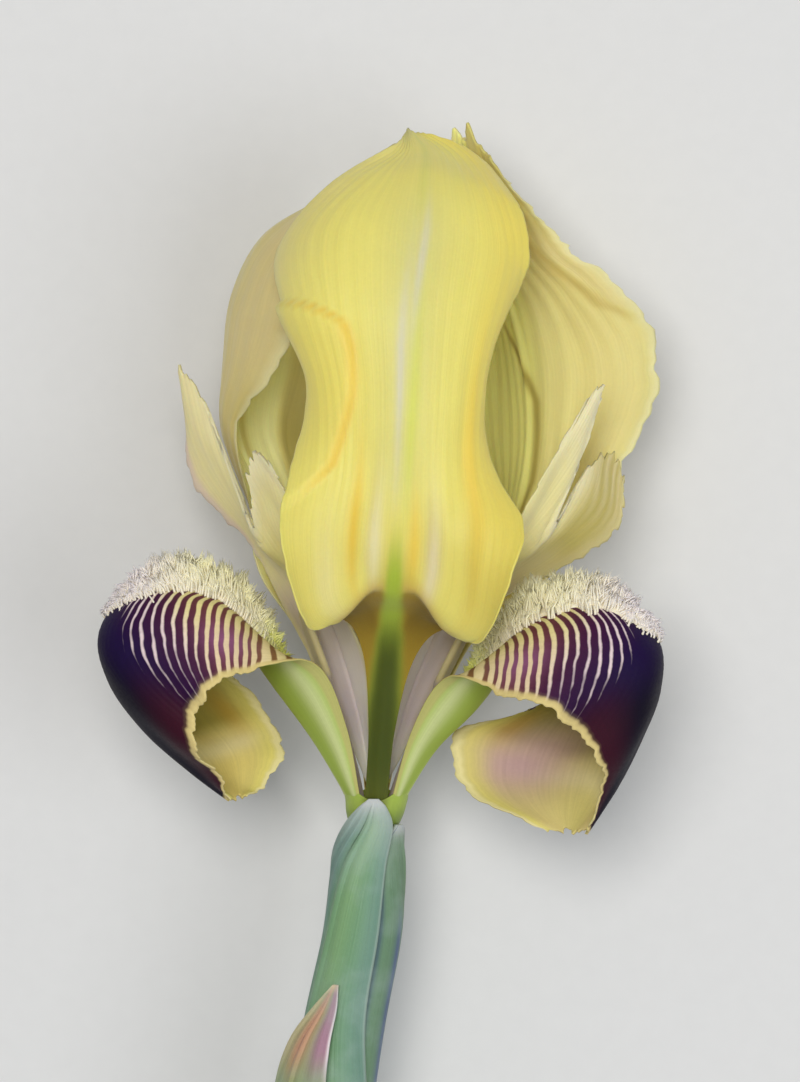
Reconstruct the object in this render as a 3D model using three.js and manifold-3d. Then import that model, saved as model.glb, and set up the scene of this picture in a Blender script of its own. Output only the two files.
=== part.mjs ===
// A bearded iris flower as picked, lying on its back. Millimetres, +Z up, the flower's axis along +Y.
// Positions are measured from the throat, the point where all petals leave the perianth tube.
import * as THREE from 'three';
import { mergeVertices } from 'three/addons/utils/BufferGeometryUtils.js';
import Module from 'manifold-3d';

const wasm = await Module();
wasm.setup();

// Driving dimensions
const THROAT = new THREE.Vector3(-0.6, 33.26, 23.65); // the throat above the surface and from the origin
const AXIS_LEAN = THREE.MathUtils.degToRad(3.3); // the standards and style lean to the right by this much
const PETAL_THICKNESS = 0.7;
const SHEATH_THICKNESS = 0.6;
const GAP = 0.3; // clearance between neighbours
const STEM_RADIUS = 2.9;
const STEM_TOP = -44;
const STEM_END = -148;
const STEM_SIDE_SLOPE = 0.13; // the stem runs to the left by this much for each millimetre down
const STEM_BOW = 0.9; // under the flower it bows to the right by this much
const STEM_BOW_MIDDLE = 15; // below the throat
const STEM_BOW_REACH = 9;
const STEM_SINK = 0.15; // the stem's underside is cut flat by this much where it touches the surface
const COLUMN_RADIUS = 1.25;
const COLUMN_TOP_RADIUS = 0.7;
const COLUMN_HEIGHT = 5;
const LOBE_PLACE = 0.335; // where along a standard its lobes hang, and over what reach
const LOBE_REACH = 0.06;
const PAD_THICKNESS = 0.8; // the beard's pad of hair roots
const PAD_MIDDLE = 0.1; // how far the front beards' pads lie to the near side, as a share of the half width
const PAD_SPAN = 0.2; // their half width, as such a share
const PAD_SPAN_BACK = 0.13;
const HAIR_RADIUS = 0.34;
const HAIR_ROWS = 3;
const HAIR_FAN = 1.2; // how far the outer rows of hairs lean sideways
const UP = new THREE.Vector3(0, 1, 0);

const radians = THREE.MathUtils.degToRad;
const clamp = THREE.MathUtils.clamp;
const smoothstep = THREE.MathUtils.smoothstep;

// A small seeded generator, so that the beards come out alike each time.
function seeded(seed) {
  let state = seed;
  return () => {
    state = (state * 1664525 + 1013904223) % 4294967296;
    return state / 4294967296;
  };
}

// A smooth curve through rows of numbers, with t from 0 at the first row to 1 at the last.
function spline(rows, t) {
  const last = rows.length - 1;
  const place = clamp(t, 0, 1) * last;
  const i = Math.min(Math.floor(place), last - 1);
  const f = place - i;
  const p1 = rows[i];
  const p2 = rows[i + 1];
  const p0 = i > 0 ? rows[i - 1] : p1.map((value, k) => 2 * value - p2[k]);
  const p3 = i + 2 <= last ? rows[i + 2] : p2.map((value, k) => 2 * value - p1[k]);
  const f2 = f * f;
  const f3 = f2 * f;
  return p1.map((value, k) => (2 * f3 - 3 * f2 + 1) * value + (f3 - 2 * f2 + f) * (p2[k] - p0[k]) / 2
    + (3 * f2 - 2 * f3) * p2[k] + (f3 - f2) * (p3[k] - value) / 2);
}

// A blade's middle surface, as a function of u along it, 0 to 1, and v across it, -1 to 1. Each row holds
// the distance from the axis, the height, the sideways shift, the left and right half widths, their curls
// in degrees, and the extra curls near their margins. A positive curl turns a margin towards the axis. Lobes
// are the depths by which the blade's lower corners hang down beside the claw, on the left and right.
function bladeSurface(rows, azimuth, { tipBow = 0.08, ruffle = [0, 0, 0], lobes = [0, 0] } = {}) {
  const angle = radians(azimuth);
  const outward = new THREE.Vector3(Math.sin(angle), 0, Math.cos(angle));
  const sideways = new THREE.Vector3(Math.cos(angle), 0, -Math.sin(angle));
  const spine = (row) => new THREE.Vector3()
    .addScaledVector(outward, row[0]).addScaledVector(UP, row[1]).addScaledVector(sideways, row[2]);
  const steps = 16;
  return (u, v) => {
    const far = Math.abs(v);
    const along = u - tipBow * far ** 2.5 * u ** 4;
    const row = spline(rows, along);
    const [, , , leftWidth, rightWidth, leftCurl, rightCurl, leftFlare, rightFlare] = row;
    const tangent = spine(spline(rows, along + 0.001)).sub(spine(spline(rows, along - 0.001))).normalize();
    const across = sideways.clone().addScaledVector(tangent, -tangent.dot(sideways)).normalize();
    const inward = tangent.clone().cross(across);
    const width = v < 0 ? leftWidth : rightWidth;
    const curl = radians(v < 0 ? leftCurl : rightCurl);
    const flare = radians(v < 0 ? leftFlare : rightFlare);
    let reach = 0;
    let rise = 0;
    for (let i = 0; i < steps; i += 1) {
      const m = far * (i + 0.5) / steps;
      const bend = curl * m + flare * m ** 3;
      reach += Math.cos(bend) * far / steps;
      rise += Math.sin(bend) * far / steps;
    }
    const [height, waves, phase] = ruffle;
    const wave = height * far ** 3 * Math.min(1, 3 * along)
      * Math.sin(2 * Math.PI * (waves * along + phase) + (v < 0 ? 1.7 : 0));
    return spine(row).addScaledVector(across, width * reach * Math.sign(v))
      .addScaledVector(inward, width * rise + wave)
      .addScaledVector(UP, -(v < 0 ? lobes[0] : lobes[1]) * hang(along, far));
  };
}

// How far a place on a blade hangs down, as a share of its lobe's depth.
function hang(along, far) {
  const nearClaw = Math.exp(-(((along - LOBE_PLACE) / LOBE_REACH) ** 2));
  return nearClaw * (smoothstep(far, 0.2, 0.65) - 0.5 * smoothstep(far, 0.75, 1));
}

// A surface through rows of points, each row running across the petal.
function netSurface(net, { ruffle = [0, 0, 0] } = {}) {
  const rows = net.map((row) => row.flat());
  const point = (u, v) => {
    const row = spline(rows, u);
    const columns = [];
    for (let i = 0; i < row.length; i += 3) columns.push(row.slice(i, i + 3));
    return new THREE.Vector3(...spline(columns, (v + 1) / 2));
  };
  return (u, v) => {
    const [height, waves, phase] = ruffle;
    const wave = height * Math.abs(v) ** 3 * Math.min(1, 3 * u)
      * Math.sin(2 * Math.PI * (waves * u + phase) + (v < 0 ? 1.7 : 0));
    return point(u, v).addScaledVector(normalAt(point, u, v), wave);
  };
}

// The unit normal of a surface, on the side that faces the flower's axis.
function normalAt(surface, u, v, du = 0.004, dv = 0.02) {
  const along = surface(Math.min(u + du, 1), v).sub(surface(Math.max(u - du, 0), v));
  const across = surface(u, Math.min(v + dv, 1)).sub(surface(u, Math.max(v - dv, -1)));
  return along.cross(across).normalize();
}

// A closed sheet of even thickness on a surface, with both faces split alike. A lift moves it off the surface.
function slab(surface, nu, nv, thickness, { from = 0, to = 1, middle = 0, span = 1, lift = 0 } = {}) {
  const positions = [];
  for (const side of [1, -1]) {
    for (let i = 0; i <= nu; i += 1) {
      for (let j = 0; j <= nv; j += 1) {
        const u = from + (to - from) * i / nu;
        const v = middle + span * (2 * j / nv - 1);
        const point = surface(u, v).addScaledVector(normalAt(surface, u, v), lift + side * thickness / 2);
        positions.push(point.x, point.y, point.z);
      }
    }
  }
  const layer = (nu + 1) * (nv + 1);
  const at = (i, j) => i * (nv + 1) + j;
  const indices = [];
  const quad = (a, b, c, d) => indices.push(a, b, c, a, c, d);
  for (let i = 0; i < nu; i += 1) {
    for (let j = 0; j < nv; j += 1) {
      const [a, b, c, d] = [at(i, j), at(i + 1, j), at(i + 1, j + 1), at(i, j + 1)];
      quad(a, b, c, d);
      indices.push(layer + a, layer + c, layer + b, layer + a, layer + d, layer + c);
    }
  }
  for (let i = 0; i < nu; i += 1) {
    quad(at(i + 1, 0), at(i, 0), layer + at(i, 0), layer + at(i + 1, 0));
    quad(at(i, nv), at(i + 1, nv), layer + at(i + 1, nv), layer + at(i, nv));
  }
  for (let j = 0; j < nv; j += 1) {
    quad(at(0, j), at(0, j + 1), layer + at(0, j + 1), layer + at(0, j));
    quad(at(nu, j + 1), at(nu, j), layer + at(nu, j), layer + at(nu, j + 1));
  }
  const geometry = new THREE.BufferGeometry();
  geometry.setAttribute('position', new THREE.Float32BufferAttribute(positions, 3));
  geometry.setIndex(indices);
  return geometry;
}

// A closed round body along stations of a centre and two half widths, across and through.
function sweep(stations, sides, across, steps) {
  const positions = [];
  const indices = [];
  const centre = (t) => new THREE.Vector3(...spline(stations, t).slice(0, 3));
  for (let i = 0; i <= steps; i += 1) {
    const t = i / steps;
    const row = spline(stations, t);
    const tangent = centre(Math.min(t + 0.01, 1)).sub(centre(Math.max(t - 0.01, 0))).normalize();
    const side = across.clone().addScaledVector(tangent, -tangent.dot(across)).normalize();
    const through = tangent.clone().cross(side);
    for (let j = 0; j < sides; j += 1) {
      const turn = 2 * Math.PI * j / sides;
      const point = centre(t).addScaledVector(side, row[3] * Math.cos(turn))
        .addScaledVector(through, row[4] * Math.sin(turn));
      positions.push(point.x, point.y, point.z);
    }
  }
  for (let i = 0; i < steps; i += 1) {
    for (let j = 0; j < sides; j += 1) {
      const k = (j + 1) % sides;
      const [a, b, c, d] = [i * sides + j, i * sides + k, (i + 1) * sides + k, (i + 1) * sides + j];
      indices.push(a, b, c, a, c, d);
    }
  }
  const end = steps * sides;
  for (let j = 1; j < sides - 1; j += 1) indices.push(0, j + 1, j, end, end + j, end + j + 1);
  const geometry = new THREE.BufferGeometry();
  geometry.setAttribute('position', new THREE.Float32BufferAttribute(positions, 3));
  geometry.setIndex(indices);
  return geometry;
}

// Between a geometry and a solid that can be joined and cut.
function solidOf(geometry) {
  const bare = geometry.clone();
  bare.deleteAttribute('normal');
  bare.deleteAttribute('uv');
  const merged = mergeVertices(bare, 0.001);
  return new wasm.Manifold(new wasm.Mesh({
    numProp: 3,
    vertProperties: new Float32Array(merged.attributes.position.array),
    triVerts: new Uint32Array(merged.index.array),
  }));
}

function geometryOf(solid) {
  const mesh = solid.getMesh();
  const geometry = new THREE.BufferGeometry();
  geometry.setAttribute('position', new THREE.BufferAttribute(mesh.vertProperties, 3));
  geometry.setIndex(new THREE.BufferAttribute(mesh.triVerts, 1));
  return geometry;
}

// Standards: the three upright petals
const STANDARD_FRONT = [
  [3.2, 0.0, 0.0, 1.3, 1.3, 0, 0, 0, 0],
  [6.4, 9.0, 0.2, 1.6, 1.6, 10, 10, 0, 0],
  [9.6, 18.0, 0.4, 3.0, 3.3, -10, -10, 0, 0],
  [12.6, 22.8, 0.5, 6.2, 7.1, -20, -20, -30, -30],
  [17.0, 25.8, 0.6, 12.6, 14.0, -20, -20, -75, -75],
  [19.8, 31.5, 0.6, 13.8, 15.0, -20, -25, -20, -20],
  [21.2, 39.5, 0.6, 12.5, 13.0, 20, 45, 20, 20],
  [22.5, 49.0, 0.4, 13.6, 14.0, 40, 60, 50, 40],
  [22.0, 59.0, 0.0, 17.5, 16.4, 30, 60, 60, 30],
  [19.0, 67.5, 0.0, 19.0, 17.6, 45, 60, 30, 10],
  [14.0, 73.6, 0.4, 11.4, 13.5, 30, 30, 0, 0],
  [8.0, 77.2, 0.6, 4.2, 9.0, 15, 20, 0, 0],
  [3.0, 80.2, -0.6, 0.9, 1.2, 0, 0, 0, 0],
];
const STANDARD_RIGHT = [
  [3.2, 0.0, 0.0, 1.3, 1.3, 0, 0, 0, 0],
  [6.2, 9.5, 0.0, 1.8, 1.8, 10, 10, 0, 0],
  [9.8, 18.5, 0.0, 3.4, 3.4, 0, 0, 0, 0],
  [14.2, 26.0, 0.0, 7.0, 6.5, -15, 0, 0, 0],
  [17.5, 34.0, 0.0, 10.5, 8.0, -30, -5, 0, 0],
  [18.8, 43.0, 0.0, 14.5, 9.5, -55, 20, -15, 0],
  [17.8, 52.0, 0.0, 18.5, 10.5, -65, 25, -25, 0],
  [15.5, 60.0, 0.0, 16.4, 11.5, -55, 30, -10, 0],
  [12.0, 67.0, 0.0, 10.6, 10.5, -35, 35, 0, 0],
  [8.5, 74.0, -0.8, 7.4, 8.0, -20, 30, 0, 0],
  [5.5, 82.0, -2.0, 4.4, 4.5, 0, 10, 0, 0],
];
const STANDARD_LEFT = [
  [3.2, 0.0, 0.0, 1.3, 1.3, 0, 0, 0, 0],
  [6.2, 9.5, 0.0, 1.8, 1.8, 10, 10, 0, 0],
  [9.8, 18.5, 0.0, 3.4, 3.4, 0, 0, 0, 0],
  [14.4, 26.0, 0.0, 8.0, 5.0, 10, 0, 0, 0],
  [17.6, 34.0, 0.0, 11.0, 5.2, 35, 15, 0, 0],
  [22.8, 43.0, 0.0, 14.0, 12.0, 60, 65, 0, 0],
  [22.8, 52.0, 0.0, 15.5, 21.5, 75, 95, 0, 0],
  [21.5, 60.5, 0.0, 15.5, 24.5, 75, 95, 0, 0],
  [17.5, 68.2, 0.0, 13.0, 20.6, 60, 80, 0, 0],
  [9.5, 72.5, 0.0, 8.0, 10.0, 30, 45, 0, 0],
  [4.0, 74.5, 0.0, 3.0, 3.0, 0, 0, 0, 0],
];
// The back fall is folded up under the flower by its weight and lies flat on the surface.
const FALL_BACK = [
  [3.2, 0.0, 0.0, 1.3, 1.3, 0, 0, 0, 0],
  [7.5, 7.5, 0.0, 2.6, 2.6, 45, 45, 0, 0],
  [12.5, 13.5, 0.0, 4.0, 4.0, 20, 20, 0, 0],
  [17.6, 18.6, 0.0, 6.5, 6.5, -20, -20, 0, 0],
  [21.8, 24.6, 0.0, 9.5, 9.5, -10, -10, 10, 10],
  [23.4, 32.0, 0.0, 11.0, 11.0, 0, 0, 25, 25],
  [23.5, 40.0, 0.0, 11.5, 11.5, 0, 0, 25, 25],
  [23.5, 48.0, 0.0, 11.5, 11.5, 0, 0, 25, 25],
  [23.5, 56.0, 0.0, 9.5, 9.5, 0, 0, 20, 20],
  [23.4, 62.0, 0.0, 4.0, 4.0, 0, 0, 0, 0],
];

// Front falls: each row runs from the far margin over the crest of the petal to the near margin.
const FALL_LEFT = [
  [[-3.6, 0.5, 0.5], [-3.4, 0.5, 0.9], [-3.0, 0.5, 1.7], [-2.5, 0.5, 2.5], [-1.9, 0.5, 2.9]],
  [[-7.6, 9.2, 1.6], [-7.6, 7.6, 2.6], [-6.6, 7.0, 3.8], [-5.0, 7.4, 5.7], [-3.4, 8.9, 6.6]],
  [[-12.6, 16.4, 1.6], [-12.4, 14.2, 4.0], [-10.6, 13.0, 6.2], [-8.4, 13.9, 9.4], [-6.3, 15.9, 11.4]],
  [[-17.4, 18.6, 0.0], [-17.0, 20.2, 4.4], [-15.2, 20.2, 8.6], [-13.4, 19.8, 13.0], [-11.4, 16.9, 16.2]],
  [[-20.6, 18.0, -2.0], [-22.2, 23.0, 4.0], [-20.2, 25.2, 10.2], [-18.6, 23.4, 16.6], [-15.6, 15.9, 19.6]],
  [[-19.2, 15.8, -3.0], [-27.0, 21.6, 2.6], [-26.4, 26.4, 10.4], [-25.4, 23.2, 18.4], [-19.0, 13.9, 21.0]],
  [[-15.0, 12.6, -2.2], [-26.8, 15.6, 0.6], [-31.0, 21.8, 9.0], [-30.8, 18.6, 17.4], [-20.8, 11.2, 20.5]],
  [[-11.8, 8.4, -0.4], [-23.4, 10.0, 0.6], [-30.6, 15.4, 7.6], [-29.8, 13.4, 15.8], [-20.8, 8.4, 19.0]],
  [[-11.4, 4.6, 2.0], [-19.6, 6.0, 2.6], [-26.6, 9.4, 7.6], [-26.2, 8.4, 13.6], [-19.8, 5.4, 16.4]],
  [[-13.4, 2.0, 4.4], [-17.6, 3.0, 4.8], [-21.8, 4.6, 7.6], [-21.6, 4.2, 11.2], [-18.0, 3.0, 13.0]],
  [[-15.2, 0.8, 5.8], [-16.4, 0.7, 6.6], [-17.4, 0.8, 7.6], [-17.4, 0.9, 8.8], [-16.8, 1.1, 9.8]],
];
const FALL_RIGHT = [
  [[3.5, 0.3, 0.5], [3.3, 0.3, 0.9], [2.9, 0.3, 1.6], [2.5, 0.3, 2.4], [1.9, 0.3, 2.9]],
  [[7.6, 8.2, 1.6], [7.4, 6.6, 2.6], [6.4, 6.0, 3.8], [5.2, 6.6, 5.7], [4.1, 8.2, 6.5]],
  [[12.8, 14.0, 1.6], [12.4, 11.8, 4.0], [10.6, 10.6, 6.2], [8.8, 12.0, 9.3], [7.1, 14.0, 11.2]],
  [[17.2, 16.4, 0.0], [17.0, 17.4, 4.4], [15.0, 17.2, 8.6], [13.0, 17.2, 13.0], [10.8, 15.0, 16.0]],
  [[21.4, 14.0, -2.4], [22.6, 19.8, 4.0], [20.2, 22.6, 10.2], [18.6, 20.8, 16.8], [14.8, 13.4, 19.4]],
  [[20.2, 11.0, -3.4], [26.6, 18.0, 2.2], [26.6, 24.4, 10.4], [25.6, 21.2, 18.6], [19.2, 12.0, 21.0]],
  [[14.4, 9.8, -3.0], [26.2, 12.8, 0.0], [32.0, 20.2, 9.0], [31.6, 17.0, 17.6], [22.6, 9.8, 20.6]],
  [[9.4, 7.2, -1.0], [22.8, 7.6, -0.2], [32.6, 13.8, 7.6], [31.8, 12.0, 15.8], [25.0, 7.0, 18.6]],
  [[9.8, 2.8, 1.4], [20.8, 3.2, 1.8], [30.4, 7.6, 7.4], [30.2, 6.8, 13.4], [26.6, 4.0, 16.0]],
  [[14.2, -0.8, 4.0], [20.8, -0.4, 4.6], [27.4, 1.8, 7.6], [27.8, 1.6, 11.0], [26.4, 0.6, 12.8]],
  [[20.4, -3.2, 6.0], [22.2, -3.2, 6.8], [23.8, -3.2, 7.8], [24.6, -3.0, 9.0], [24.8, -2.8, 10.0]],
];

// Style arms: a strap from the column that forks into two crests. A strap row is given by its distance
// from the axis, height, half width and the droop of its margins, of which the one on the near side, 1 or
// -1, is tucked in instead; the crest rows are points.
function strapRow(azimuth, distance, height, halfWidth, droop, near, tuck) {
  const angle = radians(azimuth);
  return [-1, -0.67, -0.33, 0, 0.33, 0.67, 1].map((side) => {
    const out = distance + (side * near > 0 ? tuck : droop) * side * side;
    const shift = halfWidth * side;
    const x = out * Math.sin(angle) + shift * Math.cos(angle) + height * Math.tan(AXIS_LEAN);
    return [x, height - 0.4 * droop * side * side, out * Math.cos(angle) - shift * Math.sin(angle)];
  });
}
const strap = (azimuth, near) => [
  strapRow(azimuth, 0.7, 1.6, 0.7, 0.0, near, 0.0),
  strapRow(azimuth, 2.6, 9.0, 2.8, 0.8, near, 0.5),
  strapRow(azimuth, 5.6, 17.0, 4.8, 1.4, near, -0.4),
  strapRow(azimuth, 9.4, 24.0, 6.0, 1.6, near, 0.4),
];
const STYLE_LEFT = [
  ...strap(-60, 1),
  [[-14.8, 30.4, 1.6], [-14.6, 31.6, 3.6], [-14.0, 31.2, 5.6], [-12.6, 29.6, 7.0], [-11.4, 31.4, 8.6],
    [-10.2, 32.0, 10.0], [-8.8, 31.0, 11.6]],
  [[-22.0, 38.6, 0.2], [-20.8, 41.2, 2.4], [-17.2, 39.2, 4.6], [-13.6, 31.2, 7.0], [-13.4, 35.6, 8.8],
    [-12.4, 37.4, 10.0], [-10.2, 35.8, 11.4]],
  [[-22.6, 49.2, 1.4], [-23.2, 51.6, 2.2], [-19.6, 46.0, 3.8], [-14.6, 32.8, 7.0], [-15.0, 38.8, 8.6],
    [-14.2, 41.4, 9.2], [-12.0, 39.8, 10.4]],
];
const STYLE_RIGHT = [
  ...strap(60, -1),
  [[14.6, 30.0, 11.6], [16.0, 31.0, 10.2], [16.8, 30.8, 8.6], [17.4, 29.0, 7.0], [19.0, 30.4, 5.6],
    [21.4, 30.4, 3.8], [23.2, 28.4, 1.6]],
  [[19.2, 38.0, 11.4], [22.0, 40.2, 9.8], [22.4, 38.0, 8.4], [19.4, 31.0, 7.0], [23.4, 35.4, 4.8],
    [26.8, 35.6, 2.6], [29.0, 32.6, 0.8]],
  [[24.8, 47.6, 9.4], [26.6, 49.2, 8.8], [25.2, 44.0, 8.0], [21.0, 32.8, 6.9], [25.0, 39.4, 4.2],
    [28.2, 41.4, 2.8], [29.6, 38.4, 1.4]],
];
const STYLE_BACK = [
  ...strap(180, 0),
  [[7.6, 30.0, -12.4], [5.2, 31.0, -12.6], [2.8, 30.6, -12.8], [1.8, 29.0, -13.0], [0.6, 30.6, -12.8],
    [-2.0, 31.0, -12.6], [-4.4, 30.0, -12.4]],
  [[8.2, 35.0, -14.0], [6.0, 36.8, -14.4], [3.4, 35.0, -14.6], [1.9, 30.6, -14.2], [0.4, 35.0, -14.6],
    [-2.4, 36.8, -14.4], [-4.6, 35.0, -14.0]],
  [[7.2, 39.6, -15.0], [5.8, 41.6, -15.4], [3.8, 39.4, -15.2], [2.0, 32.2, -15.0], [0.2, 39.4, -15.2],
    [-1.8, 41.6, -15.4], [-3.2, 39.6, -15.0]],
];

// The line that the ovary, sheaths and stem follow below the throat. The stem comes down to the surface.
function stemCentre(height) {
  const below = Math.max(0, -height);
  const bend = clamp((below - 42) / (-STEM_END - 42), 0, 1);
  const drop = (THROAT.z - STEM_RADIUS + STEM_SINK) * bend * bend * (3 - 2 * bend);
  const bow = STEM_BOW * Math.exp(-(((below - STEM_BOW_MIDDLE) / STEM_BOW_REACH) ** 2));
  return new THREE.Vector3(bow - STEM_SIDE_SLOPE * below * (1 - 0.25 * bend), height, -drop);
}

// A sheath wraps round that line. Each row holds the height, the radius, the azimuth of the sheath's
// middle and the half angle that it covers.
function sheathSurface(rows) {
  return (u, v) => {
    const [height, radius, azimuth, cover] = spline(rows, u);
    const angle = radians(azimuth + v * cover);
    return stemCentre(height).add(new THREE.Vector3(radius * Math.sin(angle), 0, radius * Math.cos(angle)));
  };
}
const SPATHE_OUTER = [
  [-47.0, 4.8, -58, 142],
  [-37.0, 5.1, -66, 114],
  [-26.0, 5.1, -69, 91],
  [-15.0, 4.9, -61, 78],
  [-8.0, 4.6, -42, 63],
  [-3.2, 4.4, -14, 44],
  [-0.8, 4.4, -6, 24],
  [0.4, 4.4, -4, 8],
];
const SPATHE_INNER = [
  [-46.5, 3.8, 130, 150],
  [-37.0, 4.1, 130, 140],
  [-26.0, 4.15, 122, 130],
  [-15.0, 3.95, 110, 115],
  [-8.5, 3.65, 88, 90],
  [-4.8, 3.5, 68, 50],
  [-2.8, 3.5, 58, 10],
];
const BRACT = [
  [-86.0, 3.7, -60, 150],
  [-72.0, 4.1, -60, 140],
  [-58.0, 5.7, -60, 110],
  [-45.0, 6.9, -60, 72],
  [-35.0, 7.4, -54, 44],
  [-29.0, 7.0, -45, 30],
  [-24.6, 6.3, -32, 16],
  [-21.6, 6.0, -24, 3],
];

const OVARY = [
  [-43.6, 2.7],
  [-38.0, 3.2],
  [-31.0, 3.3],
  [-24.0, 2.7],
  [-14.0, 2.3],
  [-5.0, 2.3],
  [-2.4, 2.5],
  [-1.3, 3.4],
  [-0.6, 3.6],
];

// Stamens: distance from the axis, height, and half widths across and through.
const STAMEN = [
  [2.05, 0.0, 0.45, 0.45],
  [3.3, 4.0, 0.45, 0.45],
  [5.2, 9.0, 0.45, 0.42],
  [7.2, 13.4, 0.45, 0.42],
  [7.9, 14.8, 0.95, 0.6],
  [9.6, 18.2, 1.0, 0.65],
  [11.2, 21.4, 0.85, 0.55],
  [11.9, 22.8, 0.3, 0.25],
];

function petal(surface, nu = 22, nv = 10) {
  return slab(surface, nu, nv, PETAL_THICKNESS);
}

// The back fall is cut level underneath, where it lies on the surface.
function restingPetal(surface) {
  return geometryOf(solidOf(petal(surface)).trimByPlane([0, 0, 1], -THROAT.z));
}

// A beard: a low pad of hair roots along the middle of a fall, with hairs that stand out of it.
function beard(surface, { from, to, middle, span, hairs, length, seed }) {
  const random = seeded(seed);
  const jitter = (range) => range * (random() - 0.5);
  const lift = PETAL_THICKNESS / 2 + GAP + PAD_THICKNESS / 2;
  const solids = [solidOf(slab(surface, 14, 4, PAD_THICKNESS, { from, to, middle, span, lift }))];
  for (let i = 0; i < hairs; i += 1) {
    const share = (i + 0.5) / hairs;
    const u = from + (to - from) * (0.03 + 0.94 * share);
    const sideways = 0.8 * ((i % HAIR_ROWS) - 1 + jitter(0.5));
    const v = middle + span * sideways;
    const normal = normalAt(surface, u, v);
    const along = surface(u + 0.01, v).sub(surface(u - 0.01, v)).normalize();
    const side = normal.clone().cross(along);
    const lean = normal.clone().addScaledVector(side, jitter(0.3) - HAIR_FAN * sideways)
      .addScaledVector(along, 0.2 + jitter(0.4)).normalize();
    const root = surface(u, v).addScaledVector(normal, lift);
    const size = length(share) * (1 + jitter(0.3));
    const hair = new THREE.ConeGeometry(HAIR_RADIUS, size, 3, 1);
    hair.translate(0, size / 2, 0);
    hair.applyQuaternion(new THREE.Quaternion().setFromUnitVectors(UP, lean));
    hair.translate(root.x, root.y, root.z);
    solids.push(solidOf(hair));
  }
  return geometryOf(wasm.Manifold.union(solids));
}

function stamen(azimuth) {
  const angle = radians(azimuth);
  const across = new THREE.Vector3(Math.cos(angle), 0, -Math.sin(angle));
  const stations = STAMEN.map(([distance, height, wide, deep]) =>
    [distance * Math.sin(angle), height, distance * Math.cos(angle), wide, deep]);
  return sweep(stations, 8, across, 14);
}

// The style: a short column with its three arms, grown together.
function style() {
  const column = new THREE.CylinderGeometry(COLUMN_TOP_RADIUS, COLUMN_RADIUS, COLUMN_HEIGHT, 12);
  column.translate(0, COLUMN_HEIGHT / 2, 0);
  const arms = [STYLE_LEFT, STYLE_RIGHT, STYLE_BACK]
    .map((net) => solidOf(slab(netSurface(net), 15, 12, PETAL_THICKNESS)));
  return geometryOf(wasm.Manifold.union([solidOf(column), ...arms]));
}

function ovary() {
  const stations = OVARY.map(([height, radius]) => [...stemCentre(height).toArray(), radius, radius]);
  return sweep(stations, 12, new THREE.Vector3(1, 0, 0), 15);
}

function stem() {
  const stations = [];
  const pieces = 13;
  for (let i = 0; i <= pieces; i += 1) {
    const height = STEM_TOP + (STEM_END - STEM_TOP) * i / pieces;
    stations.push([...stemCentre(height).toArray(), STEM_RADIUS, STEM_RADIUS]);
  }
  const tube = solidOf(sweep(stations, 14, new THREE.Vector3(1, 0, 0), 22));
  return geometryOf(tube.trimByPlane([0, 0, 1], -THROAT.z));
}

// Placing: the standards, the style's stamens and the back fall lean with the axis; the rest is upright.
const flower = new THREE.Group();
flower.position.copy(THROAT);
const leaning = new THREE.Group();
leaning.rotation.z = -AXIS_LEAN;
flower.add(leaning);

function place(name, geometry, colour, group = flower, roughness = 0.55) {
  const material = new THREE.MeshStandardMaterial({ color: colour, roughness, metalness: 0 });
  const mesh = new THREE.Mesh(geometry, material);
  mesh.name = name;
  group.add(mesh);
}

const YELLOW = 0xe9dc86;
const VIOLET = 0x7a4a86;
const CREAM = 0xf3e9c4;

const standards = {
  standard_front: bladeSurface(STANDARD_FRONT, 0, { ruffle: [0.5, 3.5, 0.2], lobes: [1.6, 2.6] }),
  standard_right: bladeSurface(STANDARD_RIGHT, 120, { ruffle: [0.7, 4, 0.1] }),
  standard_left: bladeSurface(STANDARD_LEFT, -120, { ruffle: [0.6, 3.5, 0.6] }),
};
for (const [name, surface] of Object.entries(standards)) {
  place(name, petal(surface), YELLOW, leaning);
}

const fallLeft = netSurface(FALL_LEFT, { ruffle: [0.5, 4, 0.3] });
const fallRight = netSurface(FALL_RIGHT.map((row) => [...row].reverse()), { ruffle: [0.5, 4, 0.0] });
const fallBack = bladeSurface(FALL_BACK, 180);
place('fall_left', petal(fallLeft), VIOLET);
place('fall_right', petal(fallRight), VIOLET);
place('fall_back', restingPetal(fallBack), VIOLET, leaning);

const longInMiddle = (share) => 1.8 + 3.0 * Math.sin(Math.PI * Math.min(1, 0.12 + share));
const front = { from: 0.24, to: 0.6, span: PAD_SPAN, hairs: 56, length: longInMiddle };
const back = { from: 0.26, to: 0.55, middle: 0, span: PAD_SPAN_BACK, hairs: 28, length: () => 1.9, seed: 37 };
place('beard_left', beard(fallLeft, { ...front, middle: PAD_MIDDLE, seed: 11 }), CREAM);
place('beard_right', beard(fallRight, { ...front, middle: -PAD_MIDDLE, seed: 23 }), CREAM);
place('beard_back', beard(fallBack, back), CREAM, leaning);

place('style', style(), 0xe4dcc0);
place('stamen_left', stamen(-60), CREAM, leaning);
place('stamen_right', stamen(60), CREAM, leaning);
place('stamen_back', stamen(180), CREAM, leaning);

place('ovary', ovary(), 0x9db36a);
place('spathe_outer', slab(sheathSurface(SPATHE_OUTER), 13, 10, SHEATH_THICKNESS), 0xa9bfa4);
place('spathe_inner', slab(sheathSurface(SPATHE_INNER), 13, 10, SHEATH_THICKNESS), 0x9fb694);
place('bract', slab(sheathSurface(BRACT), 13, 10, SHEATH_THICKNESS), 0xc4a3a0);
place('stem', stem(), 0x7d9a66);

export default flower;
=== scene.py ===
"""A bearded iris flower as picked, lying on its back: its petals, beards, style, sheaths and stem."""

from functools import partial
import math

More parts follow.
